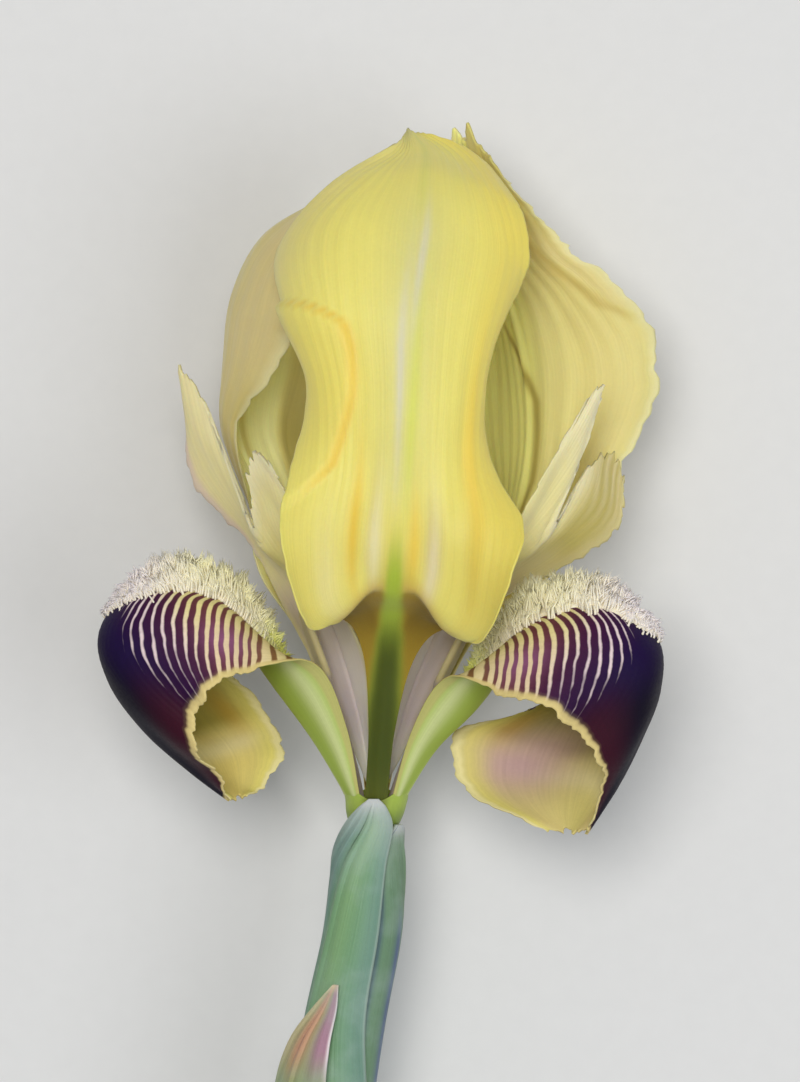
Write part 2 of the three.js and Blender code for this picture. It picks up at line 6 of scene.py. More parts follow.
import bpy
import numpy as np
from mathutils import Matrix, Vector


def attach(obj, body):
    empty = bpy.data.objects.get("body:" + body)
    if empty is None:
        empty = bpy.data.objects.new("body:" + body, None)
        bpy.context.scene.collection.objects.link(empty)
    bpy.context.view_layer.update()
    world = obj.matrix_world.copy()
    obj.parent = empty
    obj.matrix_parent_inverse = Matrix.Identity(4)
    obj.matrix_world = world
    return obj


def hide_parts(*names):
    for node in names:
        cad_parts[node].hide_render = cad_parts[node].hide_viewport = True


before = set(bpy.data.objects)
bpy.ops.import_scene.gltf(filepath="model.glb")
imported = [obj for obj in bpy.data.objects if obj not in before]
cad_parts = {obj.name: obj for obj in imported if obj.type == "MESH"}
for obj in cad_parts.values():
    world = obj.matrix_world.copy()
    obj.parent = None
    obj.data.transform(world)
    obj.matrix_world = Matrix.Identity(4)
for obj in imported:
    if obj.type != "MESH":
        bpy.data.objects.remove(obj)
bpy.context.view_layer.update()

# Driving values, in millimetres, as the solids have them
MM = 0.001
THROAT = np.array([-0.6, 33.26, 23.65])
AXIS_LEAN = math.radians(3.3)
PETAL_THICKNESS = 0.34
STYLE_THICKNESS = 0.4
SHEATH_THICKNESS = 0.6
COLLAR_THICKNESS = 0.2
TIP_BOW = 0.08
CURL_STEPS = 16
STEM_RADIUS = 2.9
STEM_TOP = -44
STEM_END = -148
STEM_SIDE_SLOPE = 0.13
STEM_BOW = 0.9
STEM_BOW_MIDDLE = 15
STEM_BOW_REACH = 9
STEM_SINK = 0.15
STEM_BEND_START = 42
STEM_PIECES = 13
X_AXIS = np.array([1.0, 0, 0])
Y_AXIS = np.array([0, 1.0, 0])
TAU = 2 * math.pi
# Steps along and across each kind of sheet, then along and round each kind of tube
STANDARD_GRID = (170, 110)
FALL_GRID = (190, 120)
PAD_GRID = (60, 10)
STYLE_GRID = (100, 80)
COLLAR_GRID = (24, 90)
SHEATH_GRID = (110, 70)
COLUMN_GRID = (16, 24)
STAMEN_GRID = (60, 24)
OVARY_GRID = (90, 48)
STEM_GRID = (150, 48)
# The camera, in millimetres: its shift and distance from the throat, and half the height that it sees
CAMERA_SHIFT = (2.88, 31.08)
CAMERA_DISTANCE = 500
CAMERA_HALF_HEIGHT = 64.92
CAMERA_SENSOR = 36
LIT_PLACE = Vector((0.0, 0.05, 0.02))

# Standards: distance from the axis, height, sideways shift, half widths, curls, extra curls at the margins
STANDARD_FRONT = [
    [3.2, 0, 0, 1.3, 1.3, 0, 0, 0, 0],
    [6.4, 9, 0.2, 1.6, 1.6, 10, 10, 0, 0],
    [9.6, 18, 0.4, 3, 3.3, -10, -10, 0, 0],
    [12.6, 22.8, 0.5, 6.2, 7.1, -20, -20, -30, -30],
    [17, 25.8, 0.6, 12.6, 14, -20, -20, -75, -75],
    [19.8, 31.5, 0.6, 13.8, 15, -20, -25, -20, -20],
    [21.2, 39.5, 0.6, 12.5, 13, 20, 45, 20, 20],
    [22.5, 49, 0.4, 13.6, 14, 40, 60, 50, 40],
    [22, 59, 0, 17.5, 16.4, 30, 60, 60, 30],
    [19, 67.5, 0, 19, 17.6, 45, 60, 30, 10],
    [14, 73.6, 0.4, 11.4, 13.5, 30, 30, 0, 0],
    [8, 77.2, 0.6, 4.2, 9, 15, 20, 0, 0],
    [3, 80.2, -0.6, 0.9, 1.2, 0, 0, 0, 0],
]


def equal_halves(rows):
    """Rows of a petal with equal halves, from distance, height, half width, curl and extra curl."""
    return [[out, height, 0, width, width, curl, curl, extra, extra]
            for out, height, width, curl, extra in rows]


# The claw that both standards at the back stand on
CLAW = equal_halves([(3.2, 0, 1.3, 0, 0), (6.2, 9.5, 1.8, 10, 0), (9.8, 18.5, 3.4, 0, 0)])
STANDARD_RIGHT = CLAW + [
    [14.2, 26, 0, 7, 6.5, -15, 0, 0, 0],
    [17.5, 34, 0, 10.5, 8, -30, -5, 0, 0],
    [18.8, 43, 0, 14.5, 9.5, -55, 20, -15, 0],
    [17.8, 52, 0, 18.5, 10.5, -65, 25, -25, 0],
    [15.5, 60, 0, 16.4, 11.5, -55, 30, -10, 0],
    [12, 67, 0, 10.6, 10.5, -35, 35, 0, 0],
    [8.5, 74, -0.8, 7.4, 8, -20, 30, 0, 0],
    [5.5, 82, -2, 4.4, 4.5, 0, 10, 0, 0],
]
STANDARD_LEFT = CLAW + [
    [14.4, 26, 0, 8, 5, 10, 0, 0, 0],
    [17.6, 34, 0, 11, 5.2, 35, 15, 0, 0],
    [22.8, 43, 0, 14, 12, 60, 65, 0, 0],
    [22.8, 52, 0, 15.5, 21.5, 75, 95, 0, 0],
    [21.5, 60.5, 0, 15.5, 24.5, 75, 95, 0, 0],
    [17.5, 68.2, 0, 13, 20.6, 60, 80, 0, 0],
    [9.5, 72.5, 0, 8, 10, 30, 45, 0, 0],
    [4, 74.5, 0, 3, 3, 0, 0, 0, 0],
]
FALL_BACK = equal_halves([
    (3.2, 0, 1.3, 0, 0), (7.5, 7.5, 2.6, 45, 0), (12.5, 13.5, 4, 20, 0), (17.6, 18.6, 6.5, -20, 0),
    (21.8, 24.6, 9.5, -10, 10), (23.4, 32, 11, 0, 25), (23.5, 40, 11.5, 0, 25), (23.5, 48, 11.5, 0, 25),
    (23.5, 56, 9.5, 0, 20), (23.4, 62, 4, 0, 0),
])
# Front falls: each row runs from the far margin over the crest of the petal to the near margin
FALL_LEFT = [
    [[-3.6, 0.5, 0.5], [-3.4, 0.5, 0.9], [-3, 0.5, 1.7], [-2.5, 0.5, 2.5], [-1.9, 0.5, 2.9]],
    [[-7.6, 9.2, 1.6], [-7.6, 7.6, 2.6], [-6.6, 7, 3.8], [-5, 7.4, 5.7], [-3.4, 8.9, 6.6]],
    [[-12.6, 16.4, 1.6], [-12.4, 14.2, 4], [-10.6, 13, 6.2], [-8.4, 13.9, 9.4], [-6.3, 15.9, 11.4]],
    [[-17.4, 18.6, 0], [-17, 20.2, 4.4], [-15.2, 20.2, 8.6], [-13.4, 19.8, 13], [-11.4, 16.9, 16.2]],
    [[-20.6, 18, -2], [-22.2, 23, 4], [-20.2, 25.2, 10.2], [-18.6, 23.4, 16.6], [-15.6, 15.9, 19.6]],
    [[-19.2, 15.8, -3], [-27, 21.6, 2.6], [-26.4, 26.4, 10.4], [-25.4, 23.2, 18.4], [-19, 13.9, 21]],
    [[-15, 12.6, -2.2], [-26.8, 15.6, 0.6], [-31, 21.8, 9], [-30.8, 18.6, 17.4], [-20.8, 11.2, 20.5]],
    [[-11.8, 8.4, -0.4], [-23.4, 10, 0.6], [-30.6, 15.4, 7.6], [-29.8, 13.4, 15.8], [-20.8, 8.4, 19]],
    [[-11.4, 4.6, 2], [-19.6, 6, 2.6], [-26.6, 9.4, 7.6], [-26.2, 8.4, 13.6], [-19.8, 5.4, 16.4]],
    [[-13.4, 2, 4.4], [-17.6, 3, 4.8], [-21.8, 4.6, 7.6], [-21.6, 4.2, 11.2], [-18, 3, 13]],
    [[-15.2, 0.8, 5.8], [-16.4, 0.7, 6.6], [-17.4, 0.8, 7.6], [-17.4, 0.9, 8.8], [-16.8, 1.1, 9.8]],
]
FALL_RIGHT = [
    [[3.5, 0.3, 0.5], [3.3, 0.3, 0.9], [2.9, 0.3, 1.6], [2.5, 0.3, 2.4], [1.9, 0.3, 2.9]],
    [[7.6, 8.2, 1.6], [7.4, 6.6, 2.6], [6.4, 6, 3.8], [5.2, 6.6, 5.7], [4.1, 8.2, 6.5]],
    [[12.8, 14, 1.6], [12.4, 11.8, 4], [10.6, 10.6, 6.2], [8.8, 12, 9.3], [7.1, 14, 11.2]],
    [[17.2, 16.4, 0], [17, 17.4, 4.4], [15, 17.2, 8.6], [13, 17.2, 13], [10.8, 15, 16]],
    [[21.4, 14, -2.4], [22.6, 19.8, 4], [20.2, 22.6, 10.2], [18.6, 20.8, 16.8], [14.8, 13.4, 19.4]],
    [[20.2, 11, -3.4], [26.6, 18, 2.2], [26.6, 24.4, 10.4], [25.6, 21.2, 18.6], [19.2, 12, 21]],
    [[14.4, 9.8, -3], [26.2, 12.8, 0], [32, 20.2, 9], [31.6, 17, 17.6], [22.6, 9.8, 20.6]],
    [[9.4, 7.2, -1], [22.8, 7.6, -0.2], [32.6, 13.8, 7.6], [31.8, 12, 15.8], [25, 7, 18.6]],
    [[9.8, 2.8, 1.4], [20.8, 3.2, 1.8], [30.4, 7.6, 7.4], [30.2, 6.8, 13.4], [26.6, 4, 16]],
    [[14.2, -0.8, 4], [20.8, -0.4, 4.6], [27.4, 1.8, 7.6], [27.8, 1.6, 11], [26.4, 0.6, 12.8]],
    [[20.4, -3.2, 6], [22.2, -3.2, 6.8], [23.8, -3.2, 7.8], [24.6, -3, 9], [24.8, -2.8, 10]],
]


def sine_cosine(azimuth):
    angle = math.radians(azimuth)
    return math.sin(angle), math.cos(angle)


# A style arm's strap: distance from the axis, height, half width, droop, and its near margin's tuck
STRAP = [(0.7, 1.6, 0.7, 0, 0), (2.6, 9, 2.8, 0.8, 0.5), (5.6, 17, 4.8, 1.4, -0.4), (9.4, 24, 6, 1.6, 0.4)]


def strap(azimuth, near):
    """Rows of points from the column to where the arm forks into two crests."""
    s, c = sine_cosine(azimuth)
    rows = []
    for distance, height, half_width, droop, tuck in STRAP:
        row = []
        for side in (-1, -0.67, -0.33, 0, 0.33, 0.67, 1):
            out = distance + (tuck if side * near > 0 else droop) * side * side
            shift = half_width * side
            x = out * s + shift * c + height * math.tan(AXIS_LEAN)
            row.append([x, height - 0.4 * droop * side * side, out * c - shift * s])
        rows.append(row)
    return rows


# Each arm: its strap, and three rows of points over both crests
STYLE_LEFT = strap(-60, 1) + [
    [[-14.8, 30.4, 1.6], [-14.6, 31.6, 3.6], [-14, 31.2, 5.6], [-12.6, 29.6, 7], [-11.4, 31.4, 8.6],
     [-10.2, 32, 10], [-8.8, 31, 11.6]],
    [[-22, 38.6, 0.2], [-20.8, 41.2, 2.4], [-17.2, 39.2, 4.6], [-13.6, 31.2, 7], [-13.4, 35.6, 8.8],
     [-12.4, 37.4, 10], [-10.2, 35.8, 11.4]],
    [[-22.6, 49.2, 1.4], [-23.2, 51.6, 2.2], [-19.6, 46, 3.8], [-14.6, 32.8, 7], [-15, 38.8, 8.6],
     [-14.2, 41.4, 9.2], [-12, 39.8, 10.4]],
]
STYLE_RIGHT = strap(60, -1) + [
    [[14.6, 30, 11.6], [16, 31, 10.2], [16.8, 30.8, 8.6], [17.4, 29, 7], [19, 30.4, 5.6],
     [21.4, 30.4, 3.8], [23.2, 28.4, 1.6]],
    [[19.2, 38, 11.4], [22, 40.2, 9.8], [22.4, 38, 8.4], [19.4, 31, 7], [23.4, 35.4, 4.8],
     [26.8, 35.6, 2.6], [29, 32.6, 0.8]],
    [[24.8, 47.6, 9.4], [26.6, 49.2, 8.8], [25.2, 44, 8], [21, 32.8, 6.9], [25, 39.4, 4.2],
     [28.2, 41.4, 2.8], [29.6, 38.4, 1.4]],
]
STYLE_BACK = strap(180, 0) + [
    [[7.6, 30, -12.4], [5.2, 31, -12.6], [2.8, 30.6, -12.8], [1.8, 29, -13], [0.6, 30.6, -12.8],
     [-2, 31, -12.6], [-4.4, 30, -12.4]],
    [[8.2, 35, -14], [6, 36.8, -14.4], [3.4, 35, -14.6], [1.9, 30.6, -14.2], [0.4, 35, -14.6],
     [-2.4, 36.8, -14.4], [-4.6, 35, -14]],
    [[7.2, 39.6, -15], [5.8, 41.6, -15.4], [3.8, 39.4, -15.2], [2, 32.2, -15], [0.2, 39.4, -15.2],
     [-1.8, 41.6, -15.4], [-3.2, 39.6, -15]],
]
# Sheaths: height, radius, azimuth of the middle, half angle covered
SPATHE_OUTER = [
    [-47, 4.8, -58, 142], [-37, 5.1, -66, 114], [-26, 5.1, -69, 91], [-15, 4.9, -61, 78],
    [-8, 4.6, -42, 63], [-3.2, 4.4, -14, 44], [-0.8, 4.4, -6, 24], [0.4, 4.4, -4, 8],
]
SPATHE_INNER = [
    [-46.5, 3.8, 130, 150], [-37, 4.1, 130, 140], [-26, 4.15, 122, 130], [-15, 3.95, 110, 115],
    [-8.5, 3.65, 88, 90], [-4.8, 3.5, 68, 50], [-2.8, 3.5, 58, 10],
]
BRACT = [
    [-86, 3.7, -60, 150], [-72, 4.1, -60, 140], [-58, 5.7, -60, 110], [-45, 6.9, -60, 72],
    [-35, 7.4, -54, 44], [-29, 7, -45, 30], [-24.6, 6.3, -32, 16], [-21.6, 6, -24, 3],
]
# The perianth tube's wall, which holds the feet of all petals, closed all round
COLLAR = [[height, radius, 0, 180] for height, radius in
          ((-3.8, 2.5), (-2.6, 3), (-1.4, 3.4), (-0.2, 3.6), (1, 3.8))]
# Height and radius
OVARY = [(-43.6, 2.7), (-38, 3.2), (-31, 3.3), (-24, 2.7), (-14, 2.3), (-5, 2.3), (-2.4, 2.5), (-1.3, 2.8),
         (-0.6, 3.1)]
COLUMN = [(0, 1.25), (2, 1.1), (4, 0.85), (5, 0.7)]
# Stamens: distance from the axis, height, half widths across and through
STAMEN = [
    (2.05, 0, 0.45, 0.45), (3.3, 4, 0.45, 0.45), (5.2, 9, 0.45, 0.42), (7.2, 13.4, 0.45, 0.42),
    (7.9, 14.8, 0.95, 0.6), (9.6, 18.2, 1, 0.65), (11.2, 21.4, 0.85, 0.55), (11.9, 22.8, 0.3, 0.25),
]


# Curves and surfaces, in millimetres from the throat

def padded(rows):
    """Rows with one more at each end, in line with the last two."""
    return np.concatenate([2 * rows[:1] - rows[1:2], rows, 2 * rows[-1:] - rows[-2:-1]])


def weights(f):
    """The shares of four neighbouring rows in a smooth curve."""
    f2 = f * f
    f3 = f2 * f
    shares = [(2 * f2 - f - f3) / 2, (3 * f3 - 5 * f2 + 2) / 2, (4 * f2 + f - 3 * f3) / 2, (f3 - f2) / 2]
    return np.stack(shares, axis=-1)


def spline(rows, t):
    """A smooth curve through rows of numbers, with t from 0 to 1."""
    rows = padded(np.asarray(rows, float))
    last = len(rows) - 3
    place = np.clip(np.asarray(t, float), 0, 1) * last
    i = np.minimum(place.astype(int), last - 1)
    share = weights(place - i)
    return sum(share[..., k, None] * rows[i + k] for k in range(4))


def unit(vectors):
    return vectors / np.maximum(np.linalg.norm(vectors, axis=-1, keepdims=True), 1e-12)


def ramp(low, high, x):
    """0 below low, 1 above high, and an easy slope between them."""
    t = np.clip((x - low) / (high - low), 0, 1)
    return t * t * (3 - 2 * t)


def bell(x, middle, width):
    return np.exp(-((x - middle) / width) ** 2)


def ruffled(u, v, ruffle):
    height, waves, phase = ruffle
    turn = TAU * (waves * u + phase) + np.where(v < 0, 1.7, 0)
    return height * np.abs(v) ** 3 * np.minimum(1, 3 * u) * np.sin(turn)


def grid_of(u, v):
    """u and v as arrays of one shape."""
    return np.broadcast_arrays(np.asarray(u, float), np.asarray(v, float))


def blade(rows, azimuth, ruffle, lobes, u, v):
    """A petal's middle surface from its rows, with u along it and v across it."""
    u, v = grid_of(u, v)
    s, c = sine_cosine(azimuth)
    outward = np.array([s, 0, c])
    sideways = np.array([c, 0, -s])

    def spine(t):
        row = spline(rows, t)
        return row[..., 0:1] * outward + row[..., 1:2] * Y_AXIS + row[..., 2:3] * sideways

    far = np.abs(v)
    along = u - TIP_BOW * far ** 2.5 * u ** 4
    row = spline(rows, along)
    tangent = unit(spine(along + 0.001) - spine(along - 0.001))
    across = unit(sideways - (tangent @ sideways)[..., None] * tangent)
    inward = np.cross(tangent, across)
    # The widths, curls and flares each come in pairs, for the left and the right half
    width, curl, flare = [np.where(v < 0, row[..., k], row[..., k + 1]) for k in (3, 5, 7)]
    reach = np.zeros_like(far)
    rise = np.zeros_like(far)
    for i in range(CURL_STEPS):
        m = far * (i + 0.5) / CURL_STEPS
        bend = np.radians(curl) * m + np.radians(flare) * m ** 3
        reach += np.cos(bend) * far / CURL_STEPS
        rise += np.sin(bend) * far / CURL_STEPS
    points = spine(along) + (width * reach * np.sign(v))[..., None] * across
    points = points + (width * rise + ruffled(along, v, ruffle))[..., None] * inward
    hang = ramp(0.2, 0.65, far) - 0.5 * ramp(0.75, 1, far)
    points[..., 1] -= np.where(v < 0, *lobes) * hang * bell(along, 0.335, 0.06)
    return leaned(points)


def eased(surface, u_middle, v_middle, u_reach, v_reach, rounds, u, v):
    """The same surface, for whole grids, evened out around one place where its curl would fold it."""
    points = surface(u, v)
    share = (bell(u, u_middle, u_reach) * bell(v, v_middle, v_reach))[..., None]
    for _ in range(rounds):
        mean = points.copy()
        mean[1:-1, :] = (points[:-2, :] + points[2:, :]) / 2
        mean[:, 1:-1] = (mean[:, 1:-1] + (points[:, :-2] + points[:, 2:]) / 2) / 2
        points = points + share * (mean - points)
    return points


def leaned(points):
    """Turned with the flower's axis, which leans to the right."""
    x, y, z = np.moveaxis(points, -1, 0)
    c = math.cos(AXIS_LEAN)
    s = math.sin(AXIS_LEAN)
    return np.stack([x * c + y * s, y * c - x * s, z], axis=-1)


def normals_at(surface, u, v, du=0.004, dv=0.02):
    """Unit normals of a surface, on the side that faces the flower's axis."""
    along = surface(np.minimum(u + du, 1), v) - surface(np.maximum(u - du, 0), v)
    across = surface(u, np.minimum(v + dv, 1)) - surface(u, np.maximum(v - dv, -1))
    return unit(np.cross(along, across))


def net(rows, u, v):
    """A surface through rows of points, each row running across the petal."""
    u, v = grid_of(u, v)
    rows = np.asarray(rows, float)
    last = rows.shape[1] - 1
    row = spline(rows.reshape(len(rows), -1), u).reshape(u.shape + (last + 1, 3))
    row = np.moveaxis(padded(np.moveaxis(row, -2, 0)), 0, -2)
    place = np.clip((v + 1) / 2, 0, 1) * last
    i = np.minimum(place.astype(int), last - 1)
    share = weights(place - i)
    picked = [np.take_along_axis(row, (i + k)[..., None, None], axis=-2)[..., 0, :] for k in range(4)]
    return sum(share[..., k, None] * picked[k] for k in range(4))


def ruffled_net(rows, ruffle, u, v):
    """The same, with ruffled margins."""
    bare = partial(net, rows)
    return bare(u, v) + ruffled(u, v, ruffle)[..., None] * normals_at(bare, u, v)


def stem_centre(height):
    """The line that the ovary, sheaths and stem follow below the throat."""
    height = np.asarray(height, float)
    below = np.maximum(0, -height)
    bend = np.clip((below - STEM_BEND_START) / (-STEM_END - STEM_BEND_START), 0, 1)
    drop = (THROAT[2] - STEM_RADIUS + STEM_SINK) * bend * bend * (3 - 2 * bend)
    bow = STEM_BOW * bell(below, STEM_BOW_MIDDLE, STEM_BOW_REACH)
    return np.stack([bow - STEM_SIDE_SLOPE * below * (1 - 0.25 * bend), height, -drop], axis=-1)


def sheath(rows, u, v):
    """A sheath's middle surface, wrapped round the stem's line."""
    u, v = grid_of(u, v)
    row = spline(rows, u)
    angle = np.radians(row[..., 2] + v * row[..., 3])
    ring = np.stack([np.sin(angle), np.zeros_like(angle), np.cos(angle)], axis=-1)
    return stem_centre(row[..., 0]) + row[..., 1:2] * ring


# Meshes

def grid_normals(points):
    """Unit normals of a grid of points."""
    return unit(np.cross(np.gradient(points, axis=0), np.gradient(points, axis=1)))


def slab_faces(nu, nv):
    """Quads of a closed sheet: two grids, one behind the other, joined round their edge."""
    layer = (nu + 1) * (nv + 1)
    at = np.arange(layer).reshape(nu + 1, nv + 1)
    a, b, c, d = at[:-1, :-1], at[1:, :-1], at[1:, 1:], at[:-1, 1:]
    front = np.stack([a, b, c, d], axis=-1).reshape(-1, 4)
    back = layer + np.stack([a, d, c, b], axis=-1).reshape(-1, 4)
    rims = []
    for edge in (at[::-1, 0], at[:, -1], at[0, :], at[-1, ::-1]):
        rims.append(np.stack([edge[:-1], edge[1:], layer + edge[1:], layer + edge[:-1]], axis=-1))
    return np.concatenate([front, back] + rims)


def mesh_of(points, quads, triangles, attributes):
    """A smooth-shaded mesh with its point attributes. Points come in millimetres from the throat."""
    mesh = bpy.data.meshes.new("piece")
    corners = np.concatenate([np.ravel(quads), np.ravel(triangles)]).astype(np.int32)
    sizes = np.concatenate([np.full(len(quads), 4), np.full(len(triangles), 3)])
    starts = np.concatenate([[0], np.cumsum(sizes)[:-1]]).astype(np.int32)
    mesh.vertices.add(len(points))
    mesh.vertices.foreach_set("co", np.ravel((points + THROAT) * MM).astype(np.float32))
    mesh.loops.add(len(corners))
    mesh.loops.foreach_set("vertex_index", corners)
    mesh.polygons.add(len(sizes))
    mesh.polygons.foreach_set("loop_start", starts)
    mesh.polygons.foreach_set("use_smooth", np.ones(len(sizes), bool))
    mesh.update(calc_edges=True)
    mesh.validate()
    for key, values in attributes.items():
        values = np.asarray(values, np.float32)
        if values.ndim == 2:
            layer = mesh.attributes.new(key, "FLOAT_COLOR", "POINT")
            opaque = np.concatenate([values, np.ones((len(values), 1), np.float32)], axis=1)
            layer.data.foreach_set("color", opaque.ravel())
        else:
            layer = mesh.attributes.new(key, "FLOAT", "POINT")
            layer.data.foreach_set("value", values)
    return mesh


def placed(name, data):
    """A new object in the scene."""
    thing = bpy.data.objects.new(name, data)
    bpy.context.scene.collection.objects.link(thing)
    return thing


def add_piece(name, mesh, material, node):
    """Puts a piece in the scene in place of its CAD node."""
    mesh.name = name
    mesh.materials.append(material)
    piece = placed(name, mesh)
    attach(piece, "root")
    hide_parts(node)


def flat(values, shape):
    """The values at the points of a grid, as one list."""
    values = np.broadcast_to(values, shape + np.shape(values)[2:])
    return values.reshape(shape[0] * shape[1], -1)


def sheet_mesh(surface, grid, thickness, paint, relief=None, edge=None, floor=None):
    """A closed thin sheet on a surface, with relief along its normals and an uneven margin, painted."""
    nu, nv = grid
    u, v = np.meshgrid(np.linspace(0, 1, nu + 1), np.linspace(-1, 1, nv + 1), indexing="ij")
    points = surface(u, v)
    if relief is not None:
        points = points + relief(u, v)[..., None] * grid_normals(points)
    if edge is not None:
        across = unit(np.gradient(points, axis=1)) * np.sign(v)[..., None]
        along = unit(np.gradient(points, axis=0))
        side, end = edge(u, v)
        points = points + side[..., None] * across + end[..., None] * along
    normals = grid_normals(points)
    # Thinner towards the margins
    half = thickness / 2 * (0.55 + 0.45 * ramp(1, 0.85, np.abs(v)))[..., None]
    both = np.stack([points + half * normals, points - half * normals])
    if floor is not None:
        both[..., 2] = np.maximum(both[..., 2], floor)
    sides = [{"along": u, "across": v, **paint(u, v, side)} for side in (1, -1)]
    attributes = {}
    for key in sides[0]:
        attributes[key] = np.concatenate([flat(side[key], u.shape) for side in sides]).squeeze()
    return mesh_of(both.reshape(-1, 3), slab_faces(nu, nv), (), attributes)


def tube_mesh(stations, grid, across, paint, profile=None, floor=None):
    """A closed round body along stations of a centre and two half widths, painted."""
    steps, sides = grid
    t = np.linspace(0, 1, steps + 1)
    rows = spline(stations, t)
    centre = rows[:, :3]
    tangent = unit(np.gradient(centre, axis=0))
    side = unit(across - (tangent @ across)[:, None] * tangent)
    through = np.cross(tangent, side)
    tt, angle = np.meshgrid(t, np.linspace(0, TAU, sides, endpoint=False), indexing="ij")
    swell = np.ones_like(tt) if profile is None else profile(tt, angle)
    points = centre[:, None] + (rows[:, 3, None] * np.cos(angle) * swell)[..., None] * side[:, None]
    points = points + (rows[:, 4, None] * np.sin(angle) * swell)[..., None] * through[:, None]
    ends = np.concatenate([centre[:1], centre[-1:]])
    if floor is not None:
        points[..., 2] = np.maximum(points[..., 2], floor)
        ends[:, 2] = np.maximum(ends[:, 2], floor + 0.2)
    at = np.arange(tt.size).reshape(tt.shape)
    turned = np.roll(at, -1, axis=1)
    quads = np.stack([at[:-1], turned[:-1], turned[1:], at[1:]], axis=-1).reshape(-1, 4)
    low = np.stack([np.full(sides, tt.size), turned[0], at[0]], axis=-1)
    high = np.stack([np.full(sides, tt.size + 1), at[-1], turned[-1]], axis=-1)
    attributes = {}
    for key, values in {"along": tt, "across": angle / 3, **paint(tt, angle)}.items():
        values = flat(values, tt.shape)
        attributes[key] = np.concatenate([values, values[:1], values[-1:]]).squeeze()
    everything = np.concatenate([points.reshape(-1, 3), ends])
    return mesh_of(everything, quads, np.concatenate([low, high]), attributes)


# Colours

def srgb(colour):
    """A colour such as 0xFF8800 in linear light."""
    c = np.array([colour >> 16, colour >> 8 & 255, colour & 255]) / 255
    return np.where(c <= 0.04045, c / 12.92, ((c + 0.055) / 1.055) ** 2.4)


def painted(u, ground, *coats):
    """A ground colour with others painted over it in turn, each by its amount at each point."""
    tint = np.broadcast_to(srgb(ground), np.shape(u) + (3,))
    for colour, amount in coats:
        tint = tint + (srgb(colour) - tint) * np.asarray(np.clip(amount, 0, 1))[..., None]
    return tint


def spot(u, v, amount, across, width, along, reach):
    """The amount of a soft spot, with its middle and size across the petal and along it."""
    return amount * bell(v, across, width) * bell(u, along, reach)


def line(points, t):
    """The value of a polyline of (t, value) pairs at each t."""
    pairs = np.asarray(points, float)
    return np.interp(t, pairs[:, 0], pairs[:, 1])


def drift(u, v, seed, waves=3):
    """A slow random unevenness, about -1 to 1."""
    random = np.random.default_rng(seed)
    total = np.zeros(np.shape(u))
    for _ in range(5):
        a, b = random.uniform(-waves, waves, 2)
        total = total + np.sin(TAU * (a * u + b * v / 2) + random.uniform(0, TAU))
    return total / 3


# Materials

class Shader:
    """A material and short ways to add nodes to it."""

    def __init__(self, name):
        self.material = bpy.data.materials.new(name)
        self.material.use_nodes = True
        self.tree = self.material.node_tree
        self.principled = self.tree.nodes["Principled BSDF"]

    def plug(self, node, inputs):
        """Links or sets a node's inputs, given by name or number."""
        for key, value in inputs.items():
            if isinstance(value, bpy.types.NodeSocket):
                self.tree.links.new(value, node.inputs[key])
            else:
                node.inputs[key].default_value = value

    def node(self, kind, output, inputs, **settings):
        """One output of a new node."""
        node = self.tree.nodes.new("ShaderNode" + kind)
        for key, value in settings.items():
            setattr(node, key, value)
        self.plug(node, inputs)
        return node.outputs[output]

    def math(self, operation, *values):
        return self.node("Math", 0, dict(enumerate(values)), operation=operation)

    def attribute(self, name, output="Fac"):
        return self.node("Attribute", output, {}, attribute_name=name)

    def step(self, low, high, value):
        ends = {"Value": value, "From Min": low, "From Max": high}
        return self.node("MapRange", "Result", ends, interpolation_type="SMOOTHSTEP")

    def noise(self, vector, scale, detail):
        inputs = {"Vector": vector, "Scale": scale, "Detail": detail, "Roughness": 0.55}
        return self.node("TexNoise", "Fac", inputs)

    def grain(self, scale, detail=2):
        """Noise that is the same in all directions."""
        return self.noise(self.node("TexCoord", "Object", {}), scale, detail)

    def strands(self, across, along, detail=4):
        """Noise drawn out along the piece."""
        place = {0: self.scaled(self.attribute("across"), across),
                 1: self.scaled(self.attribute("along"), along)}
        return self.noise(self.node("CombineXYZ", 0, place), 1, detail)

    def scaled(self, value, factor, base=0.0):
        return self.math("MULTIPLY_ADD", value, factor, base)

    def sway(self, noise, amount, base=1.0):
        """A base value that goes up and down with noise."""
        return self.scaled(self.math("SUBTRACT", noise, 0.5), amount, base)

    def mix(self, factor, a, b, blend="MIX"):
        inputs = {0: factor, 6: a, 7: b}
        return self.node("Mix", 2, inputs, data_type="RGBA", blend_type=blend)

    def shaded(self, colour, shade):
        return self.mix(1, colour, self.grey(shade), "MULTIPLY")

    def grey(self, value):
        return self.node("CombineColor", 0, {0: value, 1: value, 2: value})

    def bump(self, height, strength, distance):
        inputs = {"Strength": strength, "Distance": distance * MM, "Height": height}
        self.plug(self.principled, {"Normal": self.node("Bump", 0, inputs)})

    def finish(self, colour, roughness, subsurface=0, sheen=0, specular=0.3):
        self.plug(self.principled, {
            "Base Color": colour, "Roughness": roughness, "Subsurface Weight": subsurface,
            "Subsurface Radius": (1.0, 0.7, 0.35), "Subsurface Scale": 1.2 * MM,
            "Sheen Weight": sheen, "Specular IOR Level": specular})
        return self.material


def petal_material(name, strands, depth):
    """Petal skin: its painted tint, fine strands along it and a grain of small cells."""
    s = Shader(name)
    strand = s.strands(strands, 3)
    cells = s.grain(2600)
    shade = s.sway(cells, 0.07, s.sway(strand, depth * 2))
    shade = s.sway(s.grain(130), 0.1, shade)
    s.bump(s.scaled(cells, 0.25, strand), 0.35, 0.12)
    rough = s.scaled(cells, 0.2, 0.42)
    return s.finish(s.shaded(s.attribute("tint", "Color"), shade), rough, 0.4, 0.12)


